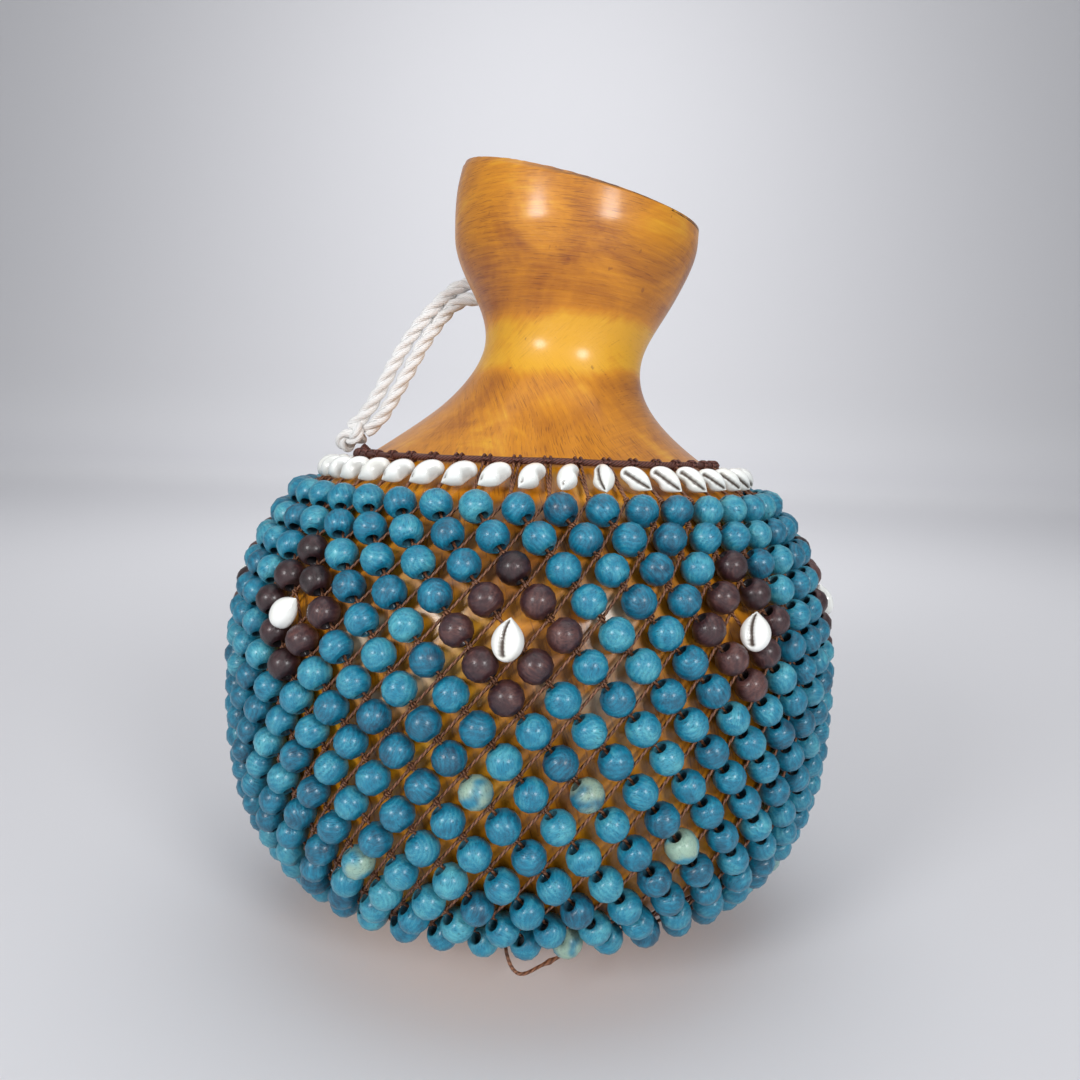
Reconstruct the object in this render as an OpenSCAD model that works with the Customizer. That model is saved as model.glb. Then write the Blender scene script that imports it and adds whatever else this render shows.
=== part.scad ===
// Shekere: a hollow dried gourd with a slanted cup, standing on its own bottom inside a
// knotted net of wooden beads. The net hangs from a cord collar on the gourd's shoulder
// and turns round the gourd. A rope loop runs from a hole in the cup to the collar.
// Z is up, the front faces -Y, and the origin lies on the table under the bulb's axis.

/* [Gourd] */
// Radius of the bulb at its widest level
bulb_r = 129.6; // [126:0.2:133]
// Height of the widest level above the table
bulb_z = 100; // [96:1:104]
// Rise of the bulb's curve above its widest level
bulb_up = 117; // [114:1:122]
// Fall of the bulb's curve below its widest level
bulb_down = 100.5; // [100.4:0.1:108]
// Thickness of the gourd's wall
wall = 5; // [3:0.5:7]
// Height where the shoulder leaves the bulb
shoulder_z = 196.5; // [194:0.5:199]
// Radius of the neck at its waist
neck_r = 38; // [34:0.5:42]
// Height of the neck's waist
neck_z = 249; // [245:1:253]
// Radius of the cup at its widest
cup_r = 57; // [53:0.5:62]
// Height of the cup's widest level
cup_z = 300; // [296:1:304]
// Radius that the cup draws in to at its highest point
lip_r = 52; // [48:0.5:54]
// Height of the middle of the mouth
rim_z = 321; // [318:1:326]
// How far the neck and cup sit off the bulb's axis
lean = 15; // [0:0.5:20]
// Fall of the mouth per unit to the right
rim_fall = 0.24; // [0:0.01:0.28]
// Fall of the mouth per unit to the front
rim_tip = 0.11; // [0:0.01:0.14]

/* [Beads] */
// Diameter of a wooden bead
bead_d = 12; // [11:0.1:12.2]
// Diameter of the hole through a bead
bead_hole = 4.7; // [4.7:0.1:5]
// Clearance between the beads and the gourd
bead_gap = 0.4; // [0.35:0.05:0.8]
// Angle above the widest level where the first row lies
first_row = 36.5; // [35:0.5:38]
// Angle of the middle column from the front
net_turn = -2.8; // [-4:0.1:4]
// Row of the middle of the dark diamonds
motif_row = 5; // [4:1:8]

/* [Net cord] */
// Diameter of the waxed cord
cord_d = 1.2; // [0.8:0.1:1.3]
// Diameter of a knot in the net
knot_d = 2.4; // [1.6:0.1:2.4]
// Length of cord from one knot to the next in the upper rows
mesh_edge = 14.3; // [14.2:0.1:15]
// Length of cord from one knot to the next in the lowest rows
mesh_low = 15.3; // [14.8:0.1:15.6]
// Height of the knots over the gourd
knot_lift = 4.85; // [4.8:0.05:5.1]
// Thickness of the collar cord
collar_d = 4; // [3:0.5:4.5]
// Thickness of the hem cord under the last row
hem_d = 2.4; // [1.6:0.2:3]

/* [Cowries] */
// Length of a cowrie shell
cowrie_l = 15; // [13:0.5:16]
// Width of a cowrie shell
cowrie_w = 10.4; // [9:0.2:10.8]
// Distance from the collar to the middle of a collar cowrie
cowrie_drop = 14.5; // [13.5:0.5:15.5]
// Tilt of the collar cowries
cowrie_tilt = 30; // [0:5:30]
// Length of a cowrie in a dark diamond
motif_l = 15.6; // [14:0.2:16]
// Width of a cowrie in a dark diamond
motif_w = 11.4; // [10:0.2:11.6]

/* [Rope] */
// Diameter of the cotton rope
rope_d = 7; // [5:0.5:8]
// Diameter of the hole in the cup that both runs pass through
rope_hole = 16; // [15.6:0.2:18]
// Diameter of the knot that ties the rope at the collar
rope_knot_d = 15; // [14:0.5:16]

/* [Hidden] */
columns = 45;
rows = 16;
motifs = 9;
cowrie_sets = 3;
motif_pitch = columns / motifs;

up_power = 2.3;
down_power = 3;
sectors = 44;
bulb_rings = 18;
neck_rings = 15;
lip_slope = -0.35;
tie_gap = 0.15;
knot_reach = knot_d * sqrt(2) / 2 + tie_gap;
pitch = 360 / columns;
bead_lift = bead_d / 2 + bead_gap;
shoulder_u = (shoulder_z - bulb_z) / bulb_up;
shoulder_r = bulb_r * pow(1 - pow(shoulder_u, up_power), 1 / up_power);
shoulder_slope = -bulb_r / bulb_up * pow(shoulder_u, up_power - 1)
    * pow(1 - pow(shoulder_u, up_power), 1 / up_power - 1);
flat_r = bulb_r * pow(1 - pow(bulb_z / bulb_down, down_power), 1 / down_power);
flat_angle = -atan2(bulb_z, flat_r);
shoulder_angle = atan2(shoulder_z - bulb_z, shoulder_r);
lean_top = cup_z - 24;
lip_z = rim_z + rim_fall * cup_r + rim_tip * cup_r / 2;

// ---- The gourd's outline, as a radius and a height ----
// A superellipse in polar form: the angle runs from the foot to the shoulder.
function bulb(angle) =
    let (
        below = angle < 0,
        reach = below ? bulb_down : bulb_up,
        power = below ? down_power : up_power,
        rho = pow(pow(cos(angle) / bulb_r, power) + pow(abs(sin(angle)) / reach, power), -1 / power)
    )
    [rho * cos(angle), bulb_z + rho * sin(angle)];

function unit(v) = v / norm(v);
function bulb_normal(angle) =
    let (d = unit(bulb(angle + 0.5) - bulb(angle - 0.5)))
    [d[1], -d[0]];
function over_bulb(angle, lift) = bulb(angle) + lift * bulb_normal(angle);

// A cubic from a to b over the span, with slopes da and db.
function cubic(t, span, a, da, b, db) =
    a * (2 * t * t * t - 3 * t * t + 1) + da * span * (t * t * t - 2 * t * t + t)
    + b * (3 * t * t - 2 * t * t * t) + db * span * (t * t * t - t * t);

function neck_radius(z) =
    z < neck_z
    ? cubic((z - shoulder_z) / (neck_z - shoulder_z), neck_z - shoulder_z,
            shoulder_r, shoulder_slope, neck_r, 0)
    : z < cup_z
    ? cubic((z - neck_z) / (cup_z - neck_z), cup_z - neck_z, neck_r, 0, cup_r, 0)
    : cubic((z - cup_z) / (lip_z - cup_z), lip_z - cup_z, cup_r, 0, lip_r, lip_slope);

function clamp01(t) = min(1, max(0, t));
function smooth(t) = clamp01(t) * clamp01(t) * (3 - 2 * clamp01(t));
function axis_x(z) = lean * smooth((z - shoulder_z) / (lean_top - shoulder_z));

// A point at an angle from the front, turning towards +X.
function around(rz, turn, x = 0) = [x + rz[0] * sin(turn), -rz[0] * cos(turn), rz[1]];

// Above the cup's widest level the rings tilt more and more, up to the slanted mouth.
function mouth_z(turn) = rim_z - rim_fall * cup_r * sin(turn) - rim_tip * cup_r * cos(turn);
function tilted(z, turn) =
    z <= cup_z ? z : cup_z + (z - cup_z) / (rim_z - cup_z) * (mouth_z(turn) - cup_z);

function neck_point(z, turn, depth, level) =
    let (
        h = tilted(z, turn),
        slope = (neck_radius(h + 0.5) - neck_radius(h - 0.5)),
        out = unit([1, -slope])
    )
    around([neck_radius(h) - depth * out[0], h - (level ? 0 : depth * out[1])], turn, axis_x(h));

function gourd_points(depth) = concat(
    [for (i = [0:bulb_rings - 1], j = [0:sectors - 1])
        around(over_bulb(flat_angle + (shoulder_angle - flat_angle) * i / bulb_rings, -depth),
               j * 360 / sectors)],
    [for (i = [0:neck_rings], j = [0:sectors - 1])
        neck_point(shoulder_z + (rim_z - shoulder_z) * i / neck_rings, j * 360 / sectors,
                   depth, i == neck_rings)]);

module gourd_shell() {
    rings = bulb_rings + neck_rings + 1;
    inner = rings * sectors;
    foot = 2 * inner;
    floor_in = foot + 1;
    top = (rings - 1) * sectors;
    next = [for (j = [0:sectors - 1]) (j + 1) % sectors];
    polyhedron(
        points = concat(gourd_points(0), gourd_points(wall), [[0, 0, 0], [0, 0, wall]]),
        faces = concat(
            [for (i = [0:rings - 2], j = [0:sectors - 1])
                [i * sectors + j, (i + 1) * sectors + j, (i + 1) * sectors + next[j]]],
            [for (i = [0:rings - 2], j = [0:sectors - 1])
                [i * sectors + j, (i + 1) * sectors + next[j], i * sectors + next[j]]],
            [for (i = [0:rings - 2], j = [0:sectors - 1])
                inner * [1, 1, 1] + [i * sectors + j, (i + 1) * sectors + next[j], (i + 1) * sectors + j]],
            [for (i = [0:rings - 2], j = [0:sectors - 1])
                inner * [1, 1, 1] + [i * sectors + j, i * sectors + next[j], (i + 1) * sectors + next[j]]],
            [for (j = [0:sectors - 1]) [foot, j, next[j]]],
            [for (j = [0:sectors - 1]) [floor_in, inner + next[j], inner + j]],
            [for (j = [0:sectors - 1]) [top + j, inner + top + j, inner + top + next[j]]],
            [for (j = [0:sectors - 1]) [top + j, inner + top + next[j], top + next[j]]]));
}

// ---- The net's lattice ----
function bead_rz(angle) = over_bulb(angle, bead_lift);
// Rows lie one cord length apart along the slant from column to column. The maker's cord
// gets longer from slack_from down to slack_to, which are angles of the bulb.
slack_from = 12;
slack_to = -20;
function edge_at(angle) =
    mesh_edge + (mesh_low - mesh_edge) * smooth((slack_from - angle) / (slack_from - slack_to));
function row_gap(angle) = sqrt(pow(edge_at(angle), 2) - pow(bead_rz(angle)[0] * PI / columns, 2));
mm_per_degree = 2.3;
function below(angle, gap, guess, tries = 8) =
    tries == 0 ? guess
    : below(angle, gap, guess + (norm(bead_rz(angle) - bead_rz(guess)) - gap) / mm_per_degree, tries - 1);
function walk(angle, left) =
    left == 0 ? []
    : concat([angle], walk(below(angle, row_gap(angle), angle - row_gap(angle) / mm_per_degree), left - 1));
row_angle = walk(first_row, rows + 1);

function row_shift(row) = row % 2 == 0 ? 0.5 : 0;
function bead_at(row, column) =
    around(bead_rz(row_angle[row - 1]), net_turn + (column + row_shift(row)) * pitch);
// Knot ring 0 lies over the first row, and ring k under row k.
function ring_angle(ring) =
    ring == 0 ? 1.5 * row_angle[0] - 0.5 * row_angle[1]
    : (row_angle[ring - 1] + row_angle[ring]) / 2;
// How far the bulb bows out between the rows above and below a ring.
function bow(ring) =
    let (half = (row_angle[0] - row_angle[1]) / 2, a = ring_angle(ring))
    norm(bulb(a) - (bulb(a + half) + bulb(a - half)) / 2);
function knot_rz(ring) = over_bulb(ring_angle(ring), knot_lift + bow(ring));
function knot_at(ring, column) =
    around(knot_rz(ring),
           net_turn + (column + row_shift(ring) + 0.25) * pitch);
function knot_back(ring) = ring % 2 == 0 ? 0 : -1;

// Columns from a bead to the middle of its dark diamond.
function off_motif(row, column) =
    let (c = column + row_shift(row))
    c - motif_pitch * round(c / motif_pitch);
function motif_steps(row, column) = abs(off_motif(row, column)) + abs(row - motif_row) / 2;
function is_cowrie(row, column) = row == motif_row && off_motif(row, column) == 0;
function is_dark(row, column) = motif_steps(row, column) == 1;

// Carries children from the origin to p, with their Z axis along the line from p to q.
module aim(p, q) {
    d = q - p;
    translate(p) rotate([0, acos(d[2] / norm(d)), atan2(d[1], d[0])]) children();
}

module cord(p, q, start, end) {
    aim(p, q) translate([0, 0, start]) cylinder(d = cord_d, h = norm(q - p) - start - end, $fn = 16);
}

// A knot at p: a drum of wraps round the cord that runs on towards q.
module knot(p, q) {
    aim(p, q) cylinder(d = knot_d, h = knot_d, center = true, $fn = 20);
}

module bead(row, column) {
    c = bead_at(row, column);
    over = knot_at(row - 1, column + knot_back(row));
    under = knot_at(row, column);
    aim(c, c + under - over) difference() {
        sphere(d = bead_d, $fn = 40);
        cylinder(d = bead_hole, h = bead_d + 2, center = true, $fn = 24);
    }
}

module beads_row(row) {
    color([0.06, 0.36, 0.50])
    for (c = [0:columns - 1]) if (!is_dark(row, c) && !is_cowrie(row, c)) bead(row, c);
}

module dark_beads() {
    color([0.22, 0.12, 0.10])
    for (row = [motif_row - 2:motif_row + 2], c = [0:columns - 1]) if (is_dark(row, c)) bead(row, c);
}

// One ring of knots, each with the cord that holds the bead above it on the left and the
// bare cord that runs up to the right.
module net_row(row) {
    color([0.24, 0.11, 0.07])
    for (c = [0:columns - 1]) {
        k = knot_at(row, c);
        left = knot_at(row - 1, c + knot_back(row));
        right = knot_at(row - 1, c + knot_back(row) + 1);
        knot(k, right);
        cord(k, left, 0, knot_reach);
        cord(k, right, 0, knot_reach);
    }
}

// ---- Collar, hem and shells ----
collar_angle = shoulder_angle;
collar_rz = over_bulb(collar_angle, collar_d / 2 + bead_gap);

module ring_cord(rz, d) {
    rotate_extrude($fn = 96) translate(rz) circle(d = d, $fn = 20);
}

module collar_cord() {
    color([0.24, 0.11, 0.07]) ring_cord(collar_rz, collar_d);
}

// Loops from the collar down to the first ring of knots.
module net_top_loops() {
    color([0.24, 0.11, 0.07])
    for (c = [0:columns - 1]) {
        k = knot_at(0, c);
        head = around(collar_rz, net_turn + (c + row_shift(0) + 0.25) * pitch);
        knot(k, head);
        cord(k, head, 0, collar_d / 2 + tie_gap);
    }
}

hem_rz = over_bulb(row_angle[rows], hem_d / 2 + bead_gap);
module hem_cord() {
    color([0.24, 0.11, 0.07]) ring_cord(hem_rz, hem_d);
}

// Loops from the last ring of knots down to the hem cord.
module hem_loops() {
    color([0.24, 0.11, 0.07])
    for (c = [0:columns - 1]) {
        turn = net_turn + (c + row_shift(rows) + 0.25) * pitch;
        cord(knot_at(rows, c), around(hem_rz, turn), knot_reach, hem_d / 2 + tie_gap);
    }
}

// The hem cord's cut end, which hangs to the table in front and lies there below the beads.
tail_turn = net_turn - 0.6;
tail_d = 1.4;
module hem_tail() {
    head = around([hem_rz[0] + (hem_d + tail_d) / 2 + tie_gap, hem_rz[1] - 0.6], tail_turn);
    color([0.24, 0.11, 0.07])
        cord_tube([head, [-4.5, -104, 9], [-2, -105, 4], [2, -104, 1.6], [9, -98, 1.5], [17, -91, 1.5]],
                  tail_d, 8);
}

// A shell's outline along its length: a wide end, a waistless belly and a blunt tip.
function shell_half(t, w) = w / 2 * pow(sin(180 * pow(t, 0.86)), 0.62);

// A cowrie along Z, its wide end down, its flat mouth side facing +Y.
module cowrie(l, w) {
    steps = 9;
    mouth_w = 1.2;
    mouth_deep = 1.4;
    flat = w * 0.33;
    difference() {
        rotate_extrude($fn = 32) polygon(concat(
            [[0, -l / 2]],
            [for (i = [1:steps - 1]) [shell_half(i / steps, w), -l / 2 + l * i / steps]],
            [[0, l / 2]]));
        translate([-w, flat, -l]) cube([2 * w, w, 2 * l]);
        translate([-mouth_w / 2, flat - mouth_deep, -l * 0.36]) cube([mouth_w, w, l * 0.72]);
    }
}

// A place over the bulb: Z points up the slope, and +Y away from the gourd.
module on_bulb(angle, lift, turn) {
    n = bulb_normal(angle);
    translate(around(over_bulb(angle, lift), turn))
        rotate([0, 0, turn])
        rotate([-atan2(n[1], n[0]), 0, 0])
        rotate([0, 0, 180])
        children();
}

cowrie_angle = collar_angle - cowrie_drop / mm_per_degree;
cowrie_lift = cowrie_w / 2 + 0.9;
// The shells of the collar in sets, so that no two neighbours are in one set.
module collar_cowries(index) {
    color([0.93, 0.91, 0.86])
    for (c = [index - 1:cowrie_sets:columns - 1])
        on_bulb(cowrie_angle, cowrie_lift, net_turn + (c + 0.25) * pitch)
            rotate([0, -cowrie_tilt, 0])
            rotate([0, 0, 180])
            cowrie(cowrie_l, cowrie_w);
}

motif_lift = knot_lift + cord_d / 2 + motif_w / 2 + 0.1;
module motif_cowrie(index) {
    color([0.93, 0.91, 0.86])
        on_bulb(row_angle[motif_row - 1] - 1, motif_lift,
                net_turn + (index - 1) * motif_pitch * pitch + row_shift(motif_row) * pitch)
            cowrie(motif_l, motif_w);
}

// ---- The rope loop, along points chosen by hand, from the cup to its knot at the collar ----
rope_turn = -98;
knot_place = around(collar_rz, rope_turn) + [-9.1, 1.3, 8];
stopper_place = [-16.4, 15, 280];
rope_outer = [
    stopper_place + [-9.2, 0, 4], stopper_place + [-21.6, 0, 3.5], [-47, 15, 279], [-57, 14, 269],
    [-66, 14, 257], [-74, 13, 243], [-81, 13, 229], knot_place + [4.5, 0, 11.5], knot_place + [-1, 0, 4.5]];
rope_inner = [
    stopper_place + [-9.2, 0, -4], stopper_place + [-19.6, 0, -4.5], [-43, 15, 271.5], [-50, 15, 263],
    [-57, 14, 252], [-64, 14, 239], [-71, 13, 226], knot_place + [15.5, 0, 9.5], knot_place + [6.6, 0, 2.1]];

// A tube along points, with a ring square to the path at each point.
function path_dir(p, i) = unit(p[min(i + 1, len(p) - 1)] - p[max(i - 1, 0)]);
function ring_on(p, i, d, sides) =
    let (
        t = path_dir(p, i),
        u = unit(cross(t, [0.1, 1, 0.05])),
        v = cross(t, u)
    )
    [for (k = [0:sides - 1]) p[i] + d / 2 * (cos(360 * k / sides) * u + sin(360 * k / sides) * v)];

module cord_tube(p, d, sides) {
    n = len(p);
    polyhedron(
        points = [for (i = [0:n - 1], q = ring_on(p, i, d, sides)) q],
        faces = concat(
            [[for (k = [sides - 1:-1:0]) k]],
            [for (i = [0:n - 2], k = [0:sides - 1])
                [i * sides + k, i * sides + (k + 1) % sides, (i + 1) * sides + (k + 1) % sides]],
            [for (i = [0:n - 2], k = [0:sides - 1])
                [i * sides + k, (i + 1) * sides + (k + 1) % sides, (i + 1) * sides + k]],
            [[for (k = [0:sides - 1]) (n - 1) * sides + k]]));
}

// A run of the rope from the stopper to the knot at the collar.
module rope_run(points) {
    color([0.92, 0.92, 0.90])
        difference() {
            cord_tube(points, rope_d, 12);
            translate(knot_place) sphere(d = rope_knot_d + 2 * tie_gap, $fn = 24);
        }
}

module rope_run_outer() {
    rope_run(rope_outer);
}

module rope_run_inner() {
    rope_run(rope_inner);
}

module rope_knot() {
    color([0.92, 0.92, 0.90]) translate(knot_place) sphere(d = rope_knot_d, $fn = 32);
}

// Waxed cord that ties the knot down to the collar.
lashing_d = 3;
module rope_lashing() {
    turn = atan2(knot_place[0], -knot_place[1]);
    color([0.24, 0.11, 0.07])
        aim(around(collar_rz, turn), knot_place)
            translate([0, 0, collar_d / 2 + tie_gap])
            cylinder(d = lashing_d, h = norm(around(collar_rz, turn) - knot_place)
                     - collar_d / 2 - rope_knot_d / 2 - 2 * tie_gap, $fn = 24);
}

module rope_stopper() {
    color([0.92, 0.92, 0.90]) translate(stopper_place) sphere(d = rope_hole + 2, $fn = 32);
}

module gourd() {
    color([0.78, 0.46, 0.10])
        difference() {
            gourd_shell();
            translate(stopper_place) rotate([0, -90, 0]) cylinder(d = rope_hole, h = cup_r, $fn = 32);
        }
}

gourd();
collar_cord();
rope_run_outer();
rope_run_inner();
rope_knot();
rope_lashing();
rope_stopper();
net_top_loops();
hem_loops();
hem_cord();
hem_tail();
dark_beads();
collar_cowries(1);  // collar_cowries_1
collar_cowries(2);  // collar_cowries_2
collar_cowries(3);  // collar_cowries_3
motif_cowrie(1);  // motif_cowrie_1
motif_cowrie(2);  // motif_cowrie_2
motif_cowrie(3);  // motif_cowrie_3
motif_cowrie(4);  // motif_cowrie_4
motif_cowrie(5);  // motif_cowrie_5
motif_cowrie(6);  // motif_cowrie_6
motif_cowrie(7);  // motif_cowrie_7
motif_cowrie(8);  // motif_cowrie_8
motif_cowrie(9);  // motif_cowrie_9
beads_row(1);  // beads_row_1
beads_row(2);  // beads_row_2
beads_row(3);  // beads_row_3
beads_row(4);  // beads_row_4
beads_row(5);  // beads_row_5
beads_row(6);  // beads_row_6
beads_row(7);  // beads_row_7
beads_row(8);  // beads_row_8
beads_row(9);  // beads_row_9
beads_row(10);  // beads_row_10
beads_row(11);  // beads_row_11
beads_row(12);  // beads_row_12
beads_row(13);  // beads_row_13
beads_row(14);  // beads_row_14
beads_row(15);  // beads_row_15
beads_row(16);  // beads_row_16
net_row(1);  // net_row_1
net_row(2);  // net_row_2
net_row(3);  // net_row_3
net_row(4);  // net_row_4
net_row(5);  // net_row_5
net_row(6);  // net_row_6
net_row(7);  // net_row_7
net_row(8);  // net_row_8
net_row(9);  // net_row_9
net_row(10);  // net_row_10
net_row(11);  // net_row_11
net_row(12);  // net_row_12
net_row(13);  // net_row_13
net_row(14);  // net_row_14
net_row(15);  // net_row_15
net_row(16);  // net_row_16
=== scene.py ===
"""Dresses a shekere: a varnished gourd with a slanted cup, inside a knotted net of wooden beads.

Shapes are worked out in millimetres, from the sizes and in the frame of the part's source: Z is up,
the front faces -Y and the origin lies on the table. Meshes are stored in metres.
"""

from __future__ import annotations

import logging
import math
from dataclasses import dataclass, field
from enum import Enum
from typing import Any, Sequence

import bpy
import numpy as np
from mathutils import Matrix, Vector

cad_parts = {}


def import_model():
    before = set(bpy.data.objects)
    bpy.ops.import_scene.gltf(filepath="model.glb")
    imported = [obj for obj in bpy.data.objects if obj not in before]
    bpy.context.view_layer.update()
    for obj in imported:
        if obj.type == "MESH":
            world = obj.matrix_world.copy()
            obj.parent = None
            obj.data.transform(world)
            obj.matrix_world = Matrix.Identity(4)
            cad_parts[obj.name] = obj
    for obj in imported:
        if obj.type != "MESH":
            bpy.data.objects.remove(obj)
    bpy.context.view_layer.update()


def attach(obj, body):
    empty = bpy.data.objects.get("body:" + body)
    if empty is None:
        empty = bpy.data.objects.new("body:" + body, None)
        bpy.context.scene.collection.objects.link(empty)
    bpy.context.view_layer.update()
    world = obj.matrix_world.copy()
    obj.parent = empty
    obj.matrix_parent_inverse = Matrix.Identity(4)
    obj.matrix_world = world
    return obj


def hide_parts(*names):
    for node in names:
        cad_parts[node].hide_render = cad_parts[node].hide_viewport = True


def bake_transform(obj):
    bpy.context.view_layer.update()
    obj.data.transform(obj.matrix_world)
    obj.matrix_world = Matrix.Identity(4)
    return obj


LOG = logging.getLogger("shekere")
MM = 0.001
TAU = 2 * math.pi
UP = np.array([0.0, 0.0, 1.0])
Array = np.ndarray
Colour = tuple[float, float, float, float]


# ---- Small maths ----
def unit(v: Array) -> Array:
    """Vectors scaled to length one."""
    return v / np.linalg.norm(v, axis=-1, keepdims=True)


def smooth(t: Array | float) -> Array:
    """A smooth step, 3 t squared minus 2 t cubed, for t held between 0 and 1."""
    t = np.clip(t, 0.0, 1.0)
    return t * t * (3 - 2 * t)


def hump(t: Array | float, middle: float, width: Array | float) -> Array:
    """A bell curve that is 1 at its middle and falls off over its width."""
    return np.exp(-(((t - middle) / width) ** 2))


def dye(code: str) -> Colour:
    """A colour written as six hex digits, as the linear values that a shader takes."""
    parts = [int(code[i : i + 2], 16) / 255 for i in (0, 2, 4)]
    line = [c / 12.92 if c <= 0.04045 else ((c + 0.055) / 1.055) ** 2.4 for c in parts]
    return (line[0], line[1], line[2], 1.0)


def smooth_path(points: Array, count: int) -> Array:
    """Carries a smooth curve through given points.

    The curve is a Catmull-Rom spline: on each span a cubic whose slope at a point is half the step
    from the point before it to the point after it.

    Args:
        points: (n, 3) points that the curve passes through.
        count: how many points the result has, spread evenly over the spans.

    Returns:
        (count, 3) points on the curve.
    """
    padded = np.vstack([2 * points[0] - points[1], points, 2 * points[-1] - points[-2]])
    at = np.linspace(0, len(points) - 1, count)
    span = np.minimum(at.astype(int), len(points) - 2)
    t = (at - span)[:, None]
    a, b, c, d = (padded[span + k] for k in range(4))
    return b + 0.5 * t * (c - a + t * (2 * a - 5 * b + 4 * c - d + t * (3 * b - 3 * c + d - a)))


def path_length(path: Array) -> float:
    """The length of a path of straight steps."""
    return float(np.linalg.norm(np.diff(path, axis=0), axis=1).sum())


def square_to(path: Array, up: Array, closed: bool = False) -> tuple[Array, Array]:
    """Two unit vectors square to paths: side is the path's direction crossed with up, and lift is
    square to both. A closed path's direction runs from the point before to the point after."""
    step = np.roll(path, -1, 0) - np.roll(path, 1, 0) if closed else np.gradient(path, axis=-2)
    along = unit(step)
    side = unit(np.cross(along, up))
    return side, np.cross(along, side)


def spokes(sides: int, side: Array, lift: Array) -> Array:
    """Unit vectors round a circle, cos(a) of the side vector plus sin(a) of the lift vector."""
    a = TAU * np.arange(sides) / sides
    return np.cos(a)[:, None] * side[..., None, :] + np.sin(a)[:, None] * lift[..., None, :]


def tube(path: Array, radius: Array | float, sides: int, up: Array, closed: bool = False) -> Array:
    """Puts rings square to paths.

    Args:
        path: (..., n, 3) points of one or many paths.
        radius: one radius, or one for each ring.
        sides: points in a ring.
        up: (..., 3) a vector that no path runs along, one in all or one for each ring.
        closed: whether the path's end runs on into its start.

    Returns:
        (..., n, sides, 3) points.
    """
    spread = spokes(sides, *square_to(path, up, closed))
    return path[..., None, :] + np.asarray(radius)[..., None, None] * spread


def between(a: Array, b: Array, count: int) -> Array:
    """Straight runs of points from a to b, (..., count, 3)."""
    t = np.linspace(0, 1, count)[:, None]
    return a[..., None, :] * (1 - t) + b[..., None, :] * t


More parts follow.
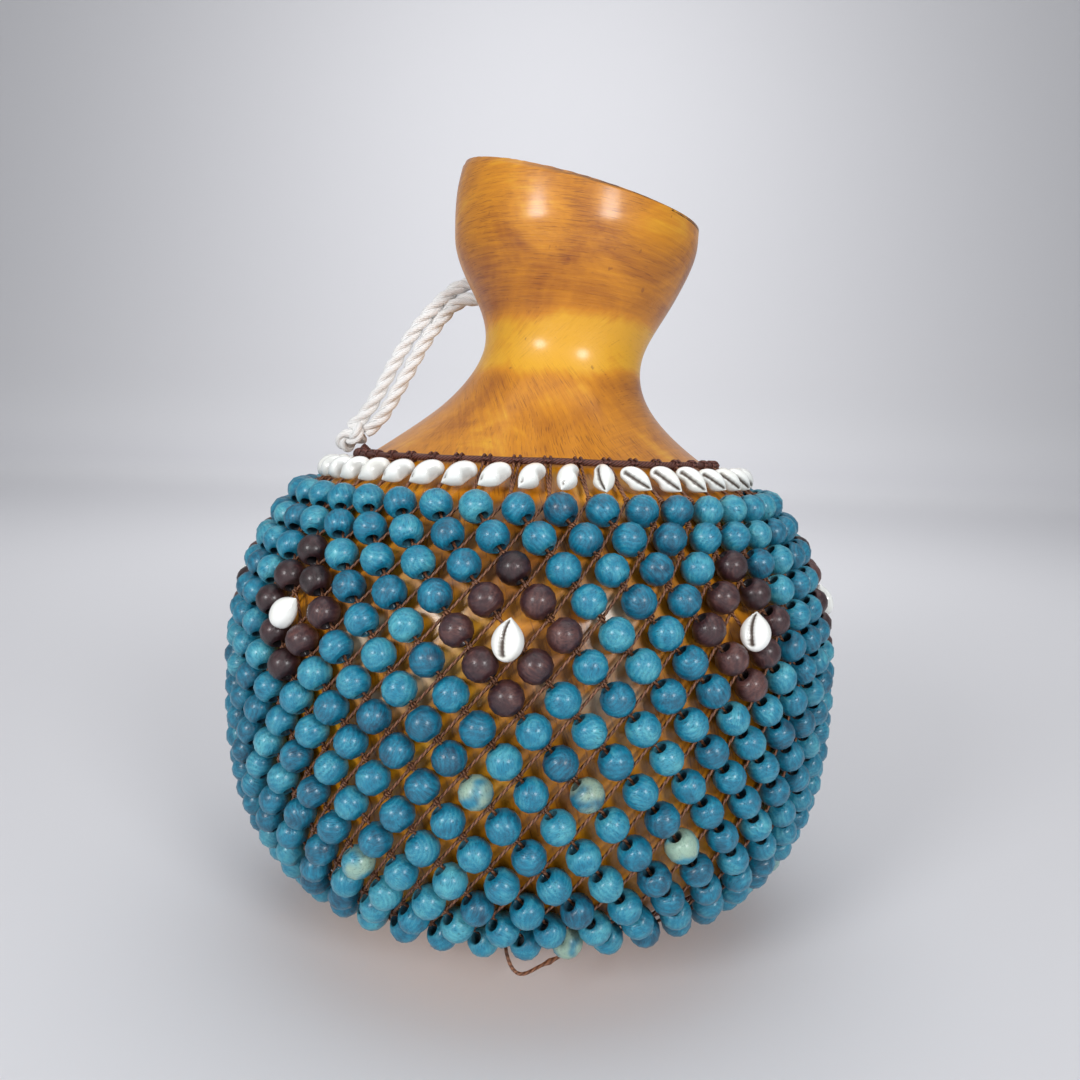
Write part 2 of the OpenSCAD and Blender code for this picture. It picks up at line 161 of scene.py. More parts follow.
# ---- Meshes ----
class Skin:
    """Gathers grids of points into one mesh, with a UV map and a value for each point.

    Attributes:
        name: the piece's name.
        values: names of the numbers that every point carries.
        vectors: names of the vectors that every point carries.
    """

    def __init__(self, name: str, values: Sequence[str] = (), vectors: Sequence[str] = ()) -> None:
        """Starts an empty mesh."""
        self.name = name
        self.values = tuple(values)
        self.vectors = tuple(vectors)
        self.points: list[Array] = []
        self.carried: dict[str, list[Array]] = {k: [] for k in self.values + self.vectors}
        self.faces: list[tuple[Array, Array]] = []
        self.count = 0

    def add(
        self,
        grid: Array,
        around: bool = True,
        loop: bool = False,
        caps: bool = False,
        size: tuple[float, float] = (1.0, 1.0),
        flip: bool = False,
        **carried: Array | float,
    ) -> None:
        """Adds one grid, or many copies of one.

        A face joins points (i, j), (i, j + 1), (i + 1, j + 1) and (i + 1, j), which looks outwards
        where j turns anticlockwise about the direction of i.

        Args:
            grid: (..., n, m, 3) points in millimetres; n runs along and m around.
            around: whether the last of m joins the first.
            loop: whether the last of n joins the first.
            caps: whether a flat face closes each end.
            size: length and girth that the UV map runs over, in millimetres.
            flip: turns the faces round.
            **carried: the values and vectors of the points, in any shape that spreads over them.
        """
        grid = grid.reshape((-1,) + grid.shape[-3:])
        copies, n, m, _ = grid.shape
        rows, cols = (n if loop else n - 1), (m if around else m - 1)
        i, j = np.meshgrid(np.arange(rows), np.arange(cols), indexing="ij")
        i2, j2 = (i + 1) % n, (j + 1) % m
        quad = np.stack([i * m + j, i * m + j2, i2 * m + j2, i2 * m + j], -1).reshape(-1, 4)
        u, v = i / rows * size[0], j / cols * size[1]
        du, dv = size[0] / rows, size[1] / cols
        corners = ((u, v), (u, v + dv), (u + du, v + dv), (u + du, v))
        place = np.stack([np.stack(corner, -1) for corner in corners], -2)
        self._faces(quad, place.reshape(-1, 4, 2), copies, n * m, flip)
        if caps:
            ring = np.arange(m)
            flat = np.zeros((1, m, 2))
            self._faces(ring[None, ::-1], flat, copies, n * m, flip)
            self._faces((n - 1) * m + ring[None, :], flat + [size[0], 0], copies, n * m, flip)
        self.points.append(grid.reshape(-1, 3))
        for key in self.values:
            value = np.asarray(carried.get(key, 0.0), float)
            self.carried[key].append(np.broadcast_to(value, (copies, n, m)).reshape(-1))
        for key in self.vectors:
            self.carried[key].append(np.broadcast_to(carried[key], (copies, n, m, 3)).reshape(-1, 3))
        self.count += copies * n * m

    def _faces(self, corners: Array, place: Array, copies: int, each: int, flip: bool) -> None:
        """Keeps faces of one size, repeated for every copy of a grid."""
        if flip:
            corners, place = corners[:, ::-1], place[:, ::-1]
        start = self.count + each * np.arange(copies)[:, None, None]
        corners = (corners[None] + start).reshape(-1, corners.shape[1])
        self.faces.append((corners, np.tile(place, (copies, 1, 1))))

    def build(
        self,
        material: bpy.types.Material,
        body: str | None = None,
        slot: str | None = None,
        replaces: Sequence[str] = (),
    ) -> bpy.types.Object:
        """Makes the object.

        Args:
            material: its finish.
            body: the body that it rides on, or None where it is set later or there is none.
            slot: not used; callers give a material slot's name, or None for what is no part of the
                object.
            replaces: the CAD nodes that it stands for.

        Returns:
            The object, at the origin, with its place in its mesh.
        """
        mesh = bpy.data.meshes.new(self.name)
        points = np.concatenate(self.points) * MM
        corners = np.concatenate([f.ravel() for f, _ in self.faces])
        sizes = np.concatenate([np.full(len(f), f.shape[1]) for f, _ in self.faces])
        mesh.vertices.add(len(points))
        mesh.vertices.foreach_set("co", points.astype(np.float32).ravel())
        mesh.loops.add(len(corners))
        mesh.loops.foreach_set("vertex_index", corners.astype(np.int32))
        mesh.polygons.add(len(sizes))
        mesh.polygons.foreach_set("loop_start", (np.cumsum(sizes) - sizes).astype(np.int32))
        mesh.polygons.foreach_set("use_smooth", np.ones(len(sizes), bool))
        uv = mesh.uv_layers.new(name="Follow")
        uv.data.foreach_set("uv", np.concatenate([p.ravel() for _, p in self.faces]).astype(np.float32))
        for key in self.values:
            data = mesh.attributes.new(key, "FLOAT", "POINT").data
            data.foreach_set("value", np.concatenate(self.carried[key]).astype(np.float32))
        for key in self.vectors:
            data = mesh.attributes.new(key, "FLOAT_VECTOR", "POINT").data
            data.foreach_set("vector", np.concatenate(self.carried[key]).astype(np.float32).ravel())
        mesh.update(calc_edges=True)
        mesh.validate()
        mesh.materials.append(material)
        obj = bpy.data.objects.new(self.name, mesh)
        bpy.context.scene.collection.objects.link(obj)
        if body is not None:
            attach(obj, body)
        if replaces:
            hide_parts(*replaces)
        LOG.info("%s: %d points, %d faces", self.name, len(points), len(sizes))
        return obj


# ---- Shader nodes ----
class Wire:
    """A number that comes out of a node. Arithmetic on it adds Math nodes."""

    def __init__(self, shader: "Shader", socket: bpy.types.NodeSocket) -> None:
        """Keeps the socket and the shader that it belongs to."""
        self.shader = shader
        self.socket = socket

    def _math(self, kind: str, *terms: "Wire | float") -> "Wire":
        """A Math node of one kind on the given terms."""
        return self.shader.node("ShaderNodeMath", {"operation": kind}, dict(enumerate(terms)))

    def __add__(self, other: "Wire | float") -> "Wire":
        """Sum."""
        return self._math("ADD", self, other)

    def __sub__(self, other: "Wire | float") -> "Wire":
        """Difference."""
        return self._math("SUBTRACT", self, other)

    def __rsub__(self, other: float) -> "Wire":
        """Difference from a plain number."""
        return self._math("SUBTRACT", other, self)

    def __mul__(self, other: "Wire | float") -> "Wire":
        """Product."""
        return self._math("MULTIPLY", self, other)

    __radd__ = __add__
    __rmul__ = __mul__

    def sine(self) -> "Wire":
        """Sine."""
        return self._math("SINE", self)

    def step(self, low: float, high: float) -> "Wire":
        """0 below low, 1 above high, and smooth between; high may be the lower one."""
        kind = {"interpolation_type": "SMOOTHSTEP", "clamp": True}
        if low > high:
            return 1 - self.step(high, low)
        return self.shader.node("ShaderNodeMapRange", kind, {0: self, 1: low, 2: high, 3: 0.0, 4: 1.0})


Value = Wire | float | Colour | tuple[float, float, float]


class Shader:
    """One material, with the calls that add its nodes."""

    def __init__(self, name: str) -> None:
        """Starts a material that holds only its output and a Principled shader."""
        self.material = bpy.data.materials.new(name)
        self.material.use_nodes = True
        self.tree = self.material.node_tree
        self.base = self.tree.nodes["Principled BSDF"]

    def node(
        self,
        kind: str,
        settings: dict[str, Any] | None = None,
        inputs: dict[Any, Value] | None = None,
        out: Any = 0,
    ) -> Wire:
        """Adds a node.

        Args:
            kind: the node's type.
            settings: its properties, set first; stops is a ramp's list of places and colours.
            inputs: values or links of its sockets, by name or number.
            out: name or number of the output that is wanted.

        Returns:
            The output.
        """
        made = self.tree.nodes.new(kind)
        for key, value in (settings or {}).items():
            if key == "stops":
                ramp = made.color_ramp.elements
                for place, colour in value[1:-1]:
                    ramp.new(place).color = colour
                for stop, (place, colour) in ((ramp[0], value[0]), (ramp[len(ramp) - 1], value[-1])):
                    stop.position, stop.color = place, colour
            else:
                setattr(made, key, value)
        for key, value in (inputs or {}).items():
            self.put(made.inputs[key], value)
        return Wire(self, made.outputs[out])

    def put(self, socket: bpy.types.NodeSocket, value: Value) -> None:
        """Links a wire to a socket, or sets the socket to a plain value."""
        if isinstance(value, Wire):
            self.tree.links.new(value.socket, socket)
        else:
            socket.default_value = value

    def coords(self) -> Wire:
        """The object's own coordinates, in metres."""
        return self.node("ShaderNodeTexCoord", out="Object")

    def follow(self) -> Wire:
        """The UV map, in millimetres along and around the piece."""
        return self.node("ShaderNodeUVMap", {"uv_map": "Follow"})

    def carried(self, name: str, vector: bool = False) -> Wire:
        """A value or vector that the mesh's points carry."""
        out = "Vector" if vector else "Fac"
        return self.node("ShaderNodeAttribute", {"attribute_name": name}, out=out)

    def turned(self, vector: Wire, turn: Sequence[float], scale: Sequence[float]) -> Wire:
        """A vector turned by angles in degrees and then scaled along the new axes."""
        about = tuple(math.radians(a) for a in turn)
        first = self.node("ShaderNodeMapping", {}, {"Vector": vector, "Rotation": about})
        return self.node("ShaderNodeMapping", {}, {"Vector": first, "Scale": tuple(scale)})

    def noise(
        self, vector: Wire, scale: float, detail: float = 2.0, rough: float = 0.5, bend: float = 0.0
    ) -> Wire:
        """Noise from 0 to 1 at so many features for each unit of the vector."""
        sockets = {"Vector": vector, "Scale": scale, "Detail": detail, "Roughness": rough}
        return self.node("ShaderNodeTexNoise", {}, sockets | {"Distortion": bend})

    def part(self, vector: Wire, axis: str) -> Wire:
        """One number of a vector."""
        return self.node("ShaderNodeSeparateXYZ", {}, {0: vector}, out=axis)

    def distance(self, vector: Wire, place: Sequence[float]) -> Wire:
        """How far a vector is from a place."""
        settings = {"operation": "DISTANCE"}
        return self.node("ShaderNodeVectorMath", settings, {0: vector, 1: tuple(place)}, "Value")

    def length(self, vector: Wire) -> Wire:
        """How long a vector is."""
        return self.node("ShaderNodeVectorMath", {"operation": "LENGTH"}, {0: vector}, "Value")

    def joined(self, x: Value, y: Value, z: Value) -> Wire:
        """A vector from three numbers."""
        return self.node("ShaderNodeCombineXYZ", {}, {0: x, 1: y, 2: z})

    def winding(self, lay: float, girth: float, count: int) -> Wire:
        """A wave from 0 to 1 on the UV map, whose crests wind round a cord: so many side by side,
        each going once round the girth in a lay. A girth below 0 winds them the other way."""
        along, across = self.part(self.follow(), "X"), self.part(self.follow(), "Y")
        return ((along * (1 / lay) + across * (1 / girth)) * (TAU * count)).sine() * 0.5 + 0.5

    def ramp(self, value: Wire, stops: Sequence[tuple[float, Colour]]) -> Wire:
        """A colour that changes with a value."""
        return self.node("ShaderNodeValToRGB", {"stops": list(stops)}, {0: value})

    def mixed(self, share: Value, first: Value, second: Value, blend: str = "MIX") -> Wire:
        """Two colours mixed."""
        settings = {"data_type": "RGBA", "blend_type": blend}
        return self.node("ShaderNodeMix", settings, {0: share, 6: first, 7: second}, out=2)

    def bump(self, height: Wire, depth: float, below: Wire | None = None) -> Wire:
        """A normal that follows a height of so many metres, on top of another bump."""
        sockets: dict[Any, Value] = {"Height": height, "Distance": depth, "Strength": 1.0}
        if below is not None:
            sockets["Normal"] = below
        return self.node("ShaderNodeBump", {}, sockets)

    def finish(self, **sockets: Value) -> bpy.types.Material:
        """Sets the Principled shader's sockets, named in lower case with underscores."""
        names = {s.name.lower().replace(" ", "_"): s for s in self.base.inputs}
        for key, value in sockets.items():
            self.put(names[key], value)
        return self.material


# ---- Finishes ----
@dataclass(frozen=True)
class VarnishedGourd:
    """Yellow dye brushed over with a brown glaze, under gloss varnish.

    Brush strokes are noise that is squeezed hard across the stroke and hardly along it. Each set
    lies in planes tilted its own way, so that it arches over the shoulder, and a patchy mask picks
    the set that shows. The glaze is thickest under the cup and thin at the waist, and near the
    collar the strokes run down the slope.

    Attributes:
        chalked: places where white dust clings, in metres; dust_reach is where it ends and is full.
        broad: features in a metre along and across a broad brush stroke.
        fine: the same for the brush's single hairs.
        on_cup: heights between which the shoulder's strokes give way to the cup's.
        under_cup: pairs of heights between which the thick glaze comes and goes.
        at_waist: pairs of heights between which the thin glaze comes and goes.
        near_collar: heights between which the strokes turn downhill.
        down_slope: features in a millimetre round the gourd, along the slope and by their lean.
    """

    straw: Colour = dye("DFA41C")
    amber: Colour = dye("CB8206")
    glaze: Colour = dye("985304")
    stroke: Colour = dye("743C06")
    inside: Colour = dye("B98A52")
    chalk: Colour = dye("DDD2BC")
    edge: Colour = dye("54290C")
    chalked: tuple[tuple[float, float, float], ...] = (
        (0.024, -0.127, 0.134),
        (0.119, -0.050, 0.114),
        (-0.050, -0.119, 0.132),
    )
    dust_reach: tuple[float, float] = (0.030, 0.012)
    broad: tuple[float, float] = (42.0, 620.0)
    fine: tuple[float, float] = (115.0, 2600.0)
    on_cup: tuple[float, float] = (0.256, 0.270)
    under_cup: tuple[float, float, float, float] = (0.258, 0.270, 0.306, 0.284)
    at_waist: tuple[float, float, float, float] = (0.232, 0.243, 0.266, 0.254)
    near_collar: tuple[float, float] = (0.226, 0.208)
    down_slope: tuple[float, float, float] = (760.0, 110.0, 300.0)

    @staticmethod
    def band(high: Wire, heights: Sequence[float]) -> Wire:
        """1 between two heights, with a soft lower and a soft upper edge."""
        return high.step(heights[0], heights[1]) * high.step(heights[2], heights[3])

    @staticmethod
    def strokes(shader: Shader, spot: Wire, tilt: Sequence[float], grain: Sequence[float]) -> Wire:
        """One set of brush strokes, 0 to 1, in planes tilted by angles in degrees; the grain is the
        number of features in a metre along and across a stroke."""
        lean = shader.turned(spot, tilt, (grain[0], grain[0], grain[1]))
        return shader.noise(lean, 1.0, 3.0, 0.6, 0.25)

    def brushed(self, sh: Shader, spot: Wire, high: Wire) -> tuple[Wire, Wire]:
        """The broad and the fine strokes over the whole gourd."""
        cup = high.step(*self.on_cup)
        swap = sh.noise(spot, 13.0, 1.0).step(0.40, 0.60)
        sets = []
        for grain in (self.broad, self.fine):
            flat = self.strokes(sh, spot, (3, -5, 0), grain)
            arch = self.strokes(sh, spot, (20, 38, 0), grain)
            counter = self.strokes(sh, spot, (-24, -46, 20), grain)
            shoulder = arch * swap + counter * (1 - swap)
            sets.append(flat * cup + shoulder * (1 - cup))
        broad, fine = sets
        along, round_it = sh.part(sh.follow(), "X"), sh.part(sh.follow(), "Y")
        dense, slow, lean = self.down_slope
        down = sh.joined(round_it * dense + along * lean, along * slow, 0.0)
        hem = high.step(*self.near_collar)
        return broad, sh.noise(down, 1.0, 2.0) * hem + fine * (1 - hem)

    def build(self) -> bpy.types.Material:
        """Makes the material."""
        sh = Shader("varnished_gourd")
        spot = sh.coords()
        high, right = sh.part(spot, "Z"), sh.part(spot, "X")
        broad, fine = self.brushed(sh, spot, high)
        drift = sh.noise(spot, 9.0, 2.0)
        patch = sh.noise(spot, 24.0, 4.0, 0.6, 0.8)
        waist = self.band(high, self.at_waist)
        thick = self.band(high, self.under_cup)
        tone = patch * 1.15 + drift * 0.4 + broad * 0.40 - waist * 0.40 + thick * 0.13 - 0.54
        ground = sh.ramp(tone, [(0.14, self.straw), (0.38, self.amber), (0.74, self.glaze)])
        shown = patch.step(0.38, 0.58) * (1 - waist * 0.75)
        hairs = fine.step(0.55, 0.64) * (shown * 0.55 + 0.08)
        specks = sh.noise(spot, 200.0, 2.0).step(0.72, 0.78) * 0.5
        inked = sh.mixed(specks, sh.mixed(hairs, ground, self.stroke), self.stroke)
        near = [sh.distance(spot, place).step(*self.dust_reach) for place in self.chalked]
        dust = sh.noise(spot, 30.0, 3.0, 0.6).step(0.44, 0.56) * (near[0] + near[1] + near[2])
        outside = sh.mixed(dust * 0.7, inked, self.chalk)
        wall = sh.carried("wall")
        bare = sh.mixed(sh.noise(spot, 60.0, 4.0).step(0.4, 0.7) * 0.5, self.inside, self.stroke)
        skin = sh.mixed(wall, outside, bare)
        worn = sh.noise(spot, 260.0, 3.0).step(0.30, 0.55) * (right.step(-0.015, 0.03) * 0.85 + 0.1)
        skin = sh.mixed(sh.carried("rim") * worn, skin, self.edge)
        relief = broad * 0.4 + fine * 0.35 + patch * 0.25
        pitted = sh.bump(sh.noise(spot, 700.0, 2.0), 0.00006)
        return sh.finish(
            base_color=skin,
            roughness=0.42 + fine * 0.14 + wall * 0.4,
            coat_weight=(1 - wall) * 0.45,
            coat_roughness=0.21,
            normal=sh.bump(relief, 0.0004, pitted),
        )


class BeadDye(Enum):
    """The two dyes of the net's beads: light, middle and dark tones, and how much wears off."""

    TEAL = ("62B8C2", "0A7A99", "053A54", 1.0)
    PLUM = ("744A42", "3A2024", "180A0D", 0.0)


@dataclass(frozen=True)
class DyedBead:
    """Turned wood with the dye gathered in its grain. The grain is rings in the bead's own blank,
    so it shows as whorls, arcs or straight lines, as each blank happened to lie.

    Attributes:
        colour: the dye.
        ring_rate: how fast the wood's rings follow each other.
        fibres: features of the fibres across and along the wood.
        pores: the same for the dark pores.
        pale: wood whose dye has worn off.
        hollow: the shade inside the bore.
    """

    colour: BeadDye
    ring_rate: float = 24.0
    fibres: tuple[float, float] = (14.0, 1.6)
    pores: tuple[float, float] = (22.0, 3.2)
    pale: Colour = dye("AEBE9C")
    hollow: Colour = dye("07141A")

    def build(self) -> bpy.types.Material:
        """Makes the material."""
        light, middle, dark, wear = self.colour.value
        sh = Shader(f"{self.colour.name.lower()}_beads")
        wood = sh.carried("wood", True)
        tint, faded, bore = (sh.carried(name) for name in ("tint", "faded", "bore"))
        wander = sh.noise(wood, 0.9, 2.0)
        cloud = sh.noise(wood, 1.1, 1.0)
        stretched = sh.turned(wood, (0, 0, 0), (1, 1, 0.12))
        rings = (sh.length(stretched) * self.ring_rate + wander * 12.0).sine() * 0.5 + 0.5
        grains = ((across, across, along) for across, along in (self.fibres, self.pores))
        drawn, pricked = (sh.turned(wood, (0, 0, 0), grain) for grain in grains)
        fibre = sh.noise(drawn, 1.0, 3.0, 0.6)
        pores = sh.noise(pricked, 1.0, 1.0).step(0.62, 0.69)
        grain = rings * (0.04 + cloud * 0.22) + fibre * 0.78
        tone = grain * 0.62 + cloud * 0.45 + tint * 0.34 - 0.27
        stain = sh.ramp(tone, [(0.10, dye(dark)), (0.42, dye(middle)), (0.86, dye(light))])
        bleached = faded * sh.noise(wood, 0.8, 1.0).step(0.30, 0.60) * wear
        stain = sh.mixed(bleached * 0.68, stain, self.pale)
        skin = sh.mixed(pores * 0.6, stain, dye(dark))
        return sh.finish(
            base_color=sh.mixed(bore * 0.85, skin, self.hollow),
            roughness=0.36 + grain * 0.12 + bore * 0.4,
            coat_weight=0.3,
            coat_roughness=0.2,
            normal=sh.bump(grain - pores * 0.5, 0.00022),
        )


@dataclass(frozen=True)
class CowrieShell:
    """Glossy white shell with a faint warm cast, and a shaded mouth."""

    shell: Colour = dye("F1F3F0")
    warm: Colour = dye("E2DFD2")
    shade: Colour = dye("53443A")

    def build(self) -> bpy.types.Material:
        """Makes the material."""
        sh = Shader("cowrie_shell")
        spot = sh.coords()
        body = sh.mixed(sh.noise(spot, 90.0, 2.0).step(0.45, 0.75) * 0.5, self.shell, self.warm)
        deep = sh.carried("deep")
        return sh.finish(
            base_color=sh.mixed(deep, body, self.shade),
            roughness=0.22 + deep * 0.4,
            coat_weight=0.5,
            coat_roughness=0.08,
            normal=sh.bump(sh.noise(spot, 260.0, 2.0), 0.00012),
        )


@dataclass(frozen=True)
class PliedCord:
    """A cord whose plies wind round it: a diagonal wave on the UV map, with fine fibre noise. The
    colour follows the wave too, so the grooves between plies are painted darker as painted shade.

    Attributes:
        name: the material's name.
        girth: distance round the cord, in millimetres.
        plies: how many plies lie side by side.
        lay: length along the cord in which a ply goes once round, in millimetres.
        light: colour of a ply's back.
        dark: colour between plies, painted shade in the grooves.
        depth: height of the plies, in metres.
        gloss: roughness of the finish.
    """

    name: str
    girth: float
    plies: int
    lay: float
    light: Colour
    dark: Colour
    depth: float
    gloss: float

    def build(self) -> bpy.types.Material:
        """Makes the material."""
        sh = Shader(self.name)
        wave = sh.winding(self.lay, self.girth, self.plies)
        fibre = sh.noise(sh.coords(), 1800.0, 2.0)
        tone = wave * 0.7 + fibre * 0.5 - 0.1
        # Painted shade: the ramp darkens the grooves between plies towards the dark colour.
        skin = sh.ramp(tone, [(0.1, self.dark), (0.7, self.light)])
        skin = sh.mixed(sh.noise(sh.coords(), 70.0, 2.0) * 0.5, skin, self.dark)
        normal = sh.bump(wave + fibre * 0.3, self.depth)
        return sh.finish(base_color=skin, roughness=self.gloss, normal=normal)


@dataclass(frozen=True)
class CottonStrand:
    """One strand of white cotton rope: fine yarns that wind round it against the rope's lay.

    Attributes:
        white: colour of the yarns' backs.
        hollow: colour between yarns, painted shade in the grooves.
        girth: distance round the strand, in millimetres.
        lay: length along the strand in which a yarn goes once round, in millimetres.
        yarns: how many yarns lie side by side.
        depth: height of the yarns and their fuzz, in metres.
    """

    white: Colour = dye("F6F6F5")
    hollow: Colour = dye("CDCBC8")
    girth: float = 11.0
    lay: float = 16.0
    yarns: int = 9
    depth: float = 0.0004

    def build(self) -> bpy.types.Material:
        """Makes the material."""
        sh = Shader("cotton_strand")
        wave = sh.winding(self.lay, -self.girth, self.yarns)
        fuzz = sh.noise(sh.coords(), 1500.0, 3.0, 0.7)
        tone = wave * 0.45 + fuzz * 0.7
        # Painted shade: the ramp darkens the grooves between yarns towards the hollow colour.
        skin = sh.ramp(tone, [(0.15, self.hollow), (0.55, self.white)])
        normal = sh.bump(wave * 0.6 + fuzz * 0.6, self.depth)
        return sh.finish(base_color=skin, roughness=0.9, normal=normal)


# ---- Shapes that the pieces share ----
def around(rz: Array, turn: Array | float, x: Array | float = 0.0) -> Array:
    """A radius and height placed at an angle in degrees from the front, turning towards +X."""
    a = np.radians(turn)
    r, z = rz[..., 0], rz[..., 1]
    return np.stack(np.broadcast_arrays(x + r * np.sin(a), -r * np.cos(a), z), -1)


def outward(turn: Array) -> Array:
    """Unit vectors that point straight out from the gourd's axis, at angles in degrees."""
    return around(np.array([1.0, 0.0]), turn)


def cubic(t: Array, span: float, a: float, slope_a: float, b: float, slope_b: float) -> Array:
    """A cubic from a to b over a span, with the slopes given at its ends (Hermite's form)."""
    rise, fall = 2 * t**3 - 3 * t**2 + 1, 3 * t**2 - 2 * t**3
    leave, reach = t**3 - 2 * t**2 + t, t**3 - t**2
    return a * rise + slope_a * span * leave + b * fall + slope_b * span * reach


@dataclass
class GourdForm:
    """The gourd's outline, in millimetres and with the names of the part's source.

    Attributes:
        bulb_r: the bulb's greatest radius, at the height bulb_z.
        bulb_up: how far the bulb's curve would reach up from there, and bulb_down down.
        up_power: how square the curve's upper half is, and down_power its lower half.
        wall: thickness of the shell.
        shoulder_z: height where the neck leaves the bulb.
        neck_r: radius of the waist, at the height neck_z.
        cup_r: the cup's greatest radius, at the height cup_z.
        lip_r: radius at the mouth, and lip_slope its change with height there.
        rim_z: height of the mouth's middle.
        lean: how far the cup stands to the right of the bulb, which it does from lean_top under cup_z.
        rim_fall: the mouth's slope towards the right, and rim_tip towards the front.
    """

    bulb_r: float = 129.6
    bulb_z: float = 100.0
    bulb_up: float = 117.0
    bulb_down: float = 100.5
    up_power: float = 2.3
    down_power: float = 3.0
    wall: float = 5.0
    shoulder_z: float = 196.5
    neck_r: float = 38.0
    neck_z: float = 249.0
    cup_r: float = 57.0
    cup_z: float = 300.0
    lip_r: float = 52.0
    lip_slope: float = -0.35
    rim_z: float = 321.0
    lean: float = 15.0
    lean_top: float = 24.0
    rim_fall: float = 0.24
    rim_tip: float = 0.11

    def bulb(self, angle: Array | float) -> Array:
        """Radius and height on the bulb: a superellipse in polar form, by its angle in degrees."""
        angle = np.asarray(angle, float)
        low = angle < 0
        power = np.where(low, self.down_power, self.up_power)
        reach = np.where(low, self.bulb_down, self.bulb_up)
        c, s = np.cos(np.radians(angle)), np.sin(np.radians(angle))
        rho = ((c / self.bulb_r) ** power + (np.abs(s) / reach) ** power) ** (-1 / power)
        return np.stack([rho * c, self.bulb_z + rho * s], -1)

    def normal(self, angle: Array | float) -> Array:
        """The outward direction on the bulb, as radius and height."""
        d = unit(self.bulb(np.asarray(angle) + 0.5) - self.bulb(np.asarray(angle) - 0.5))
        return np.stack([d[..., 1], -d[..., 0]], -1)

    def over(self, angle: Array | float, lift: Array | float) -> Array:
        """A point that stands off the bulb by a lift."""
        return self.bulb(angle) + np.asarray(lift)[..., None] * self.normal(angle)

    @property
    def flat_angle(self) -> float:
        """The bulb's angle where it meets the table."""
        rest = 1 - (self.bulb_z / self.bulb_down) ** self.down_power
        r = self.bulb_r * rest ** (1 / self.down_power)
        return -math.degrees(math.atan2(self.bulb_z, r))

    @property
    def shoulder(self) -> tuple[float, float]:
        """The bulb's radius and slope where the shoulder leaves it."""
        u = (self.shoulder_z - self.bulb_z) / self.bulb_up
        rest = 1 - u**self.up_power
        slope = -self.bulb_r / self.bulb_up * u ** (self.up_power - 1) * rest ** (1 / self.up_power - 1)
        return self.bulb_r * rest ** (1 / self.up_power), slope

    @property
    def shoulder_angle(self) -> float:
        """The bulb's angle where the shoulder leaves it."""
        return math.degrees(math.atan2(self.shoulder_z - self.bulb_z, self.shoulder[0]))

    def neck_radius(self, z: Array) -> Array:
        """The radius above the shoulder: three cubics that meet at the waist and the cup's middle."""
        r, slope = self.shoulder
        lip_z = self.rim_z + self.rim_fall * self.cup_r + self.rim_tip * self.cup_r / 2
        low, mid, top = self.neck_z - self.shoulder_z, self.cup_z - self.neck_z, lip_z - self.cup_z
        a = cubic((z - self.shoulder_z) / low, low, r, slope, self.neck_r, 0)
        b = cubic((z - self.neck_z) / mid, mid, self.neck_r, 0, self.cup_r, 0)
        c = cubic((z - self.cup_z) / top, top, self.cup_r, 0, self.lip_r, self.lip_slope)
        return np.where(z < self.neck_z, a, np.where(z < self.cup_z, b, c))

    def neck_point(self, z: Array, turn: Array, depth: Array | float, level: Array | bool) -> Array:
        """A point at a depth under the skin of the neck or cup; above the cup's widest level the
        rings tilt more and more, up to the slanted mouth. At the mouth the wall is cut level."""
        mouth = self.rim_z - self.cup_r * (
            self.rim_fall * np.sin(np.radians(turn)) + self.rim_tip * np.cos(np.radians(turn))
        )
        share = (z - self.cup_z) / (self.rim_z - self.cup_z)
        h = np.where(z <= self.cup_z, z, self.cup_z + share * (mouth - self.cup_z))
        slope = self.neck_radius(h + 0.5) - self.neck_radius(h - 0.5)
        size = np.sqrt(1 + slope**2)
        top = self.cup_z - self.lean_top
        axis = self.lean * smooth((h - self.shoulder_z) / (top - self.shoulder_z))
        fall = np.where(level, 0.0, depth * slope / size)
        return around(np.stack([self.neck_radius(h) - depth / size, h + fall], -1), turn, axis)


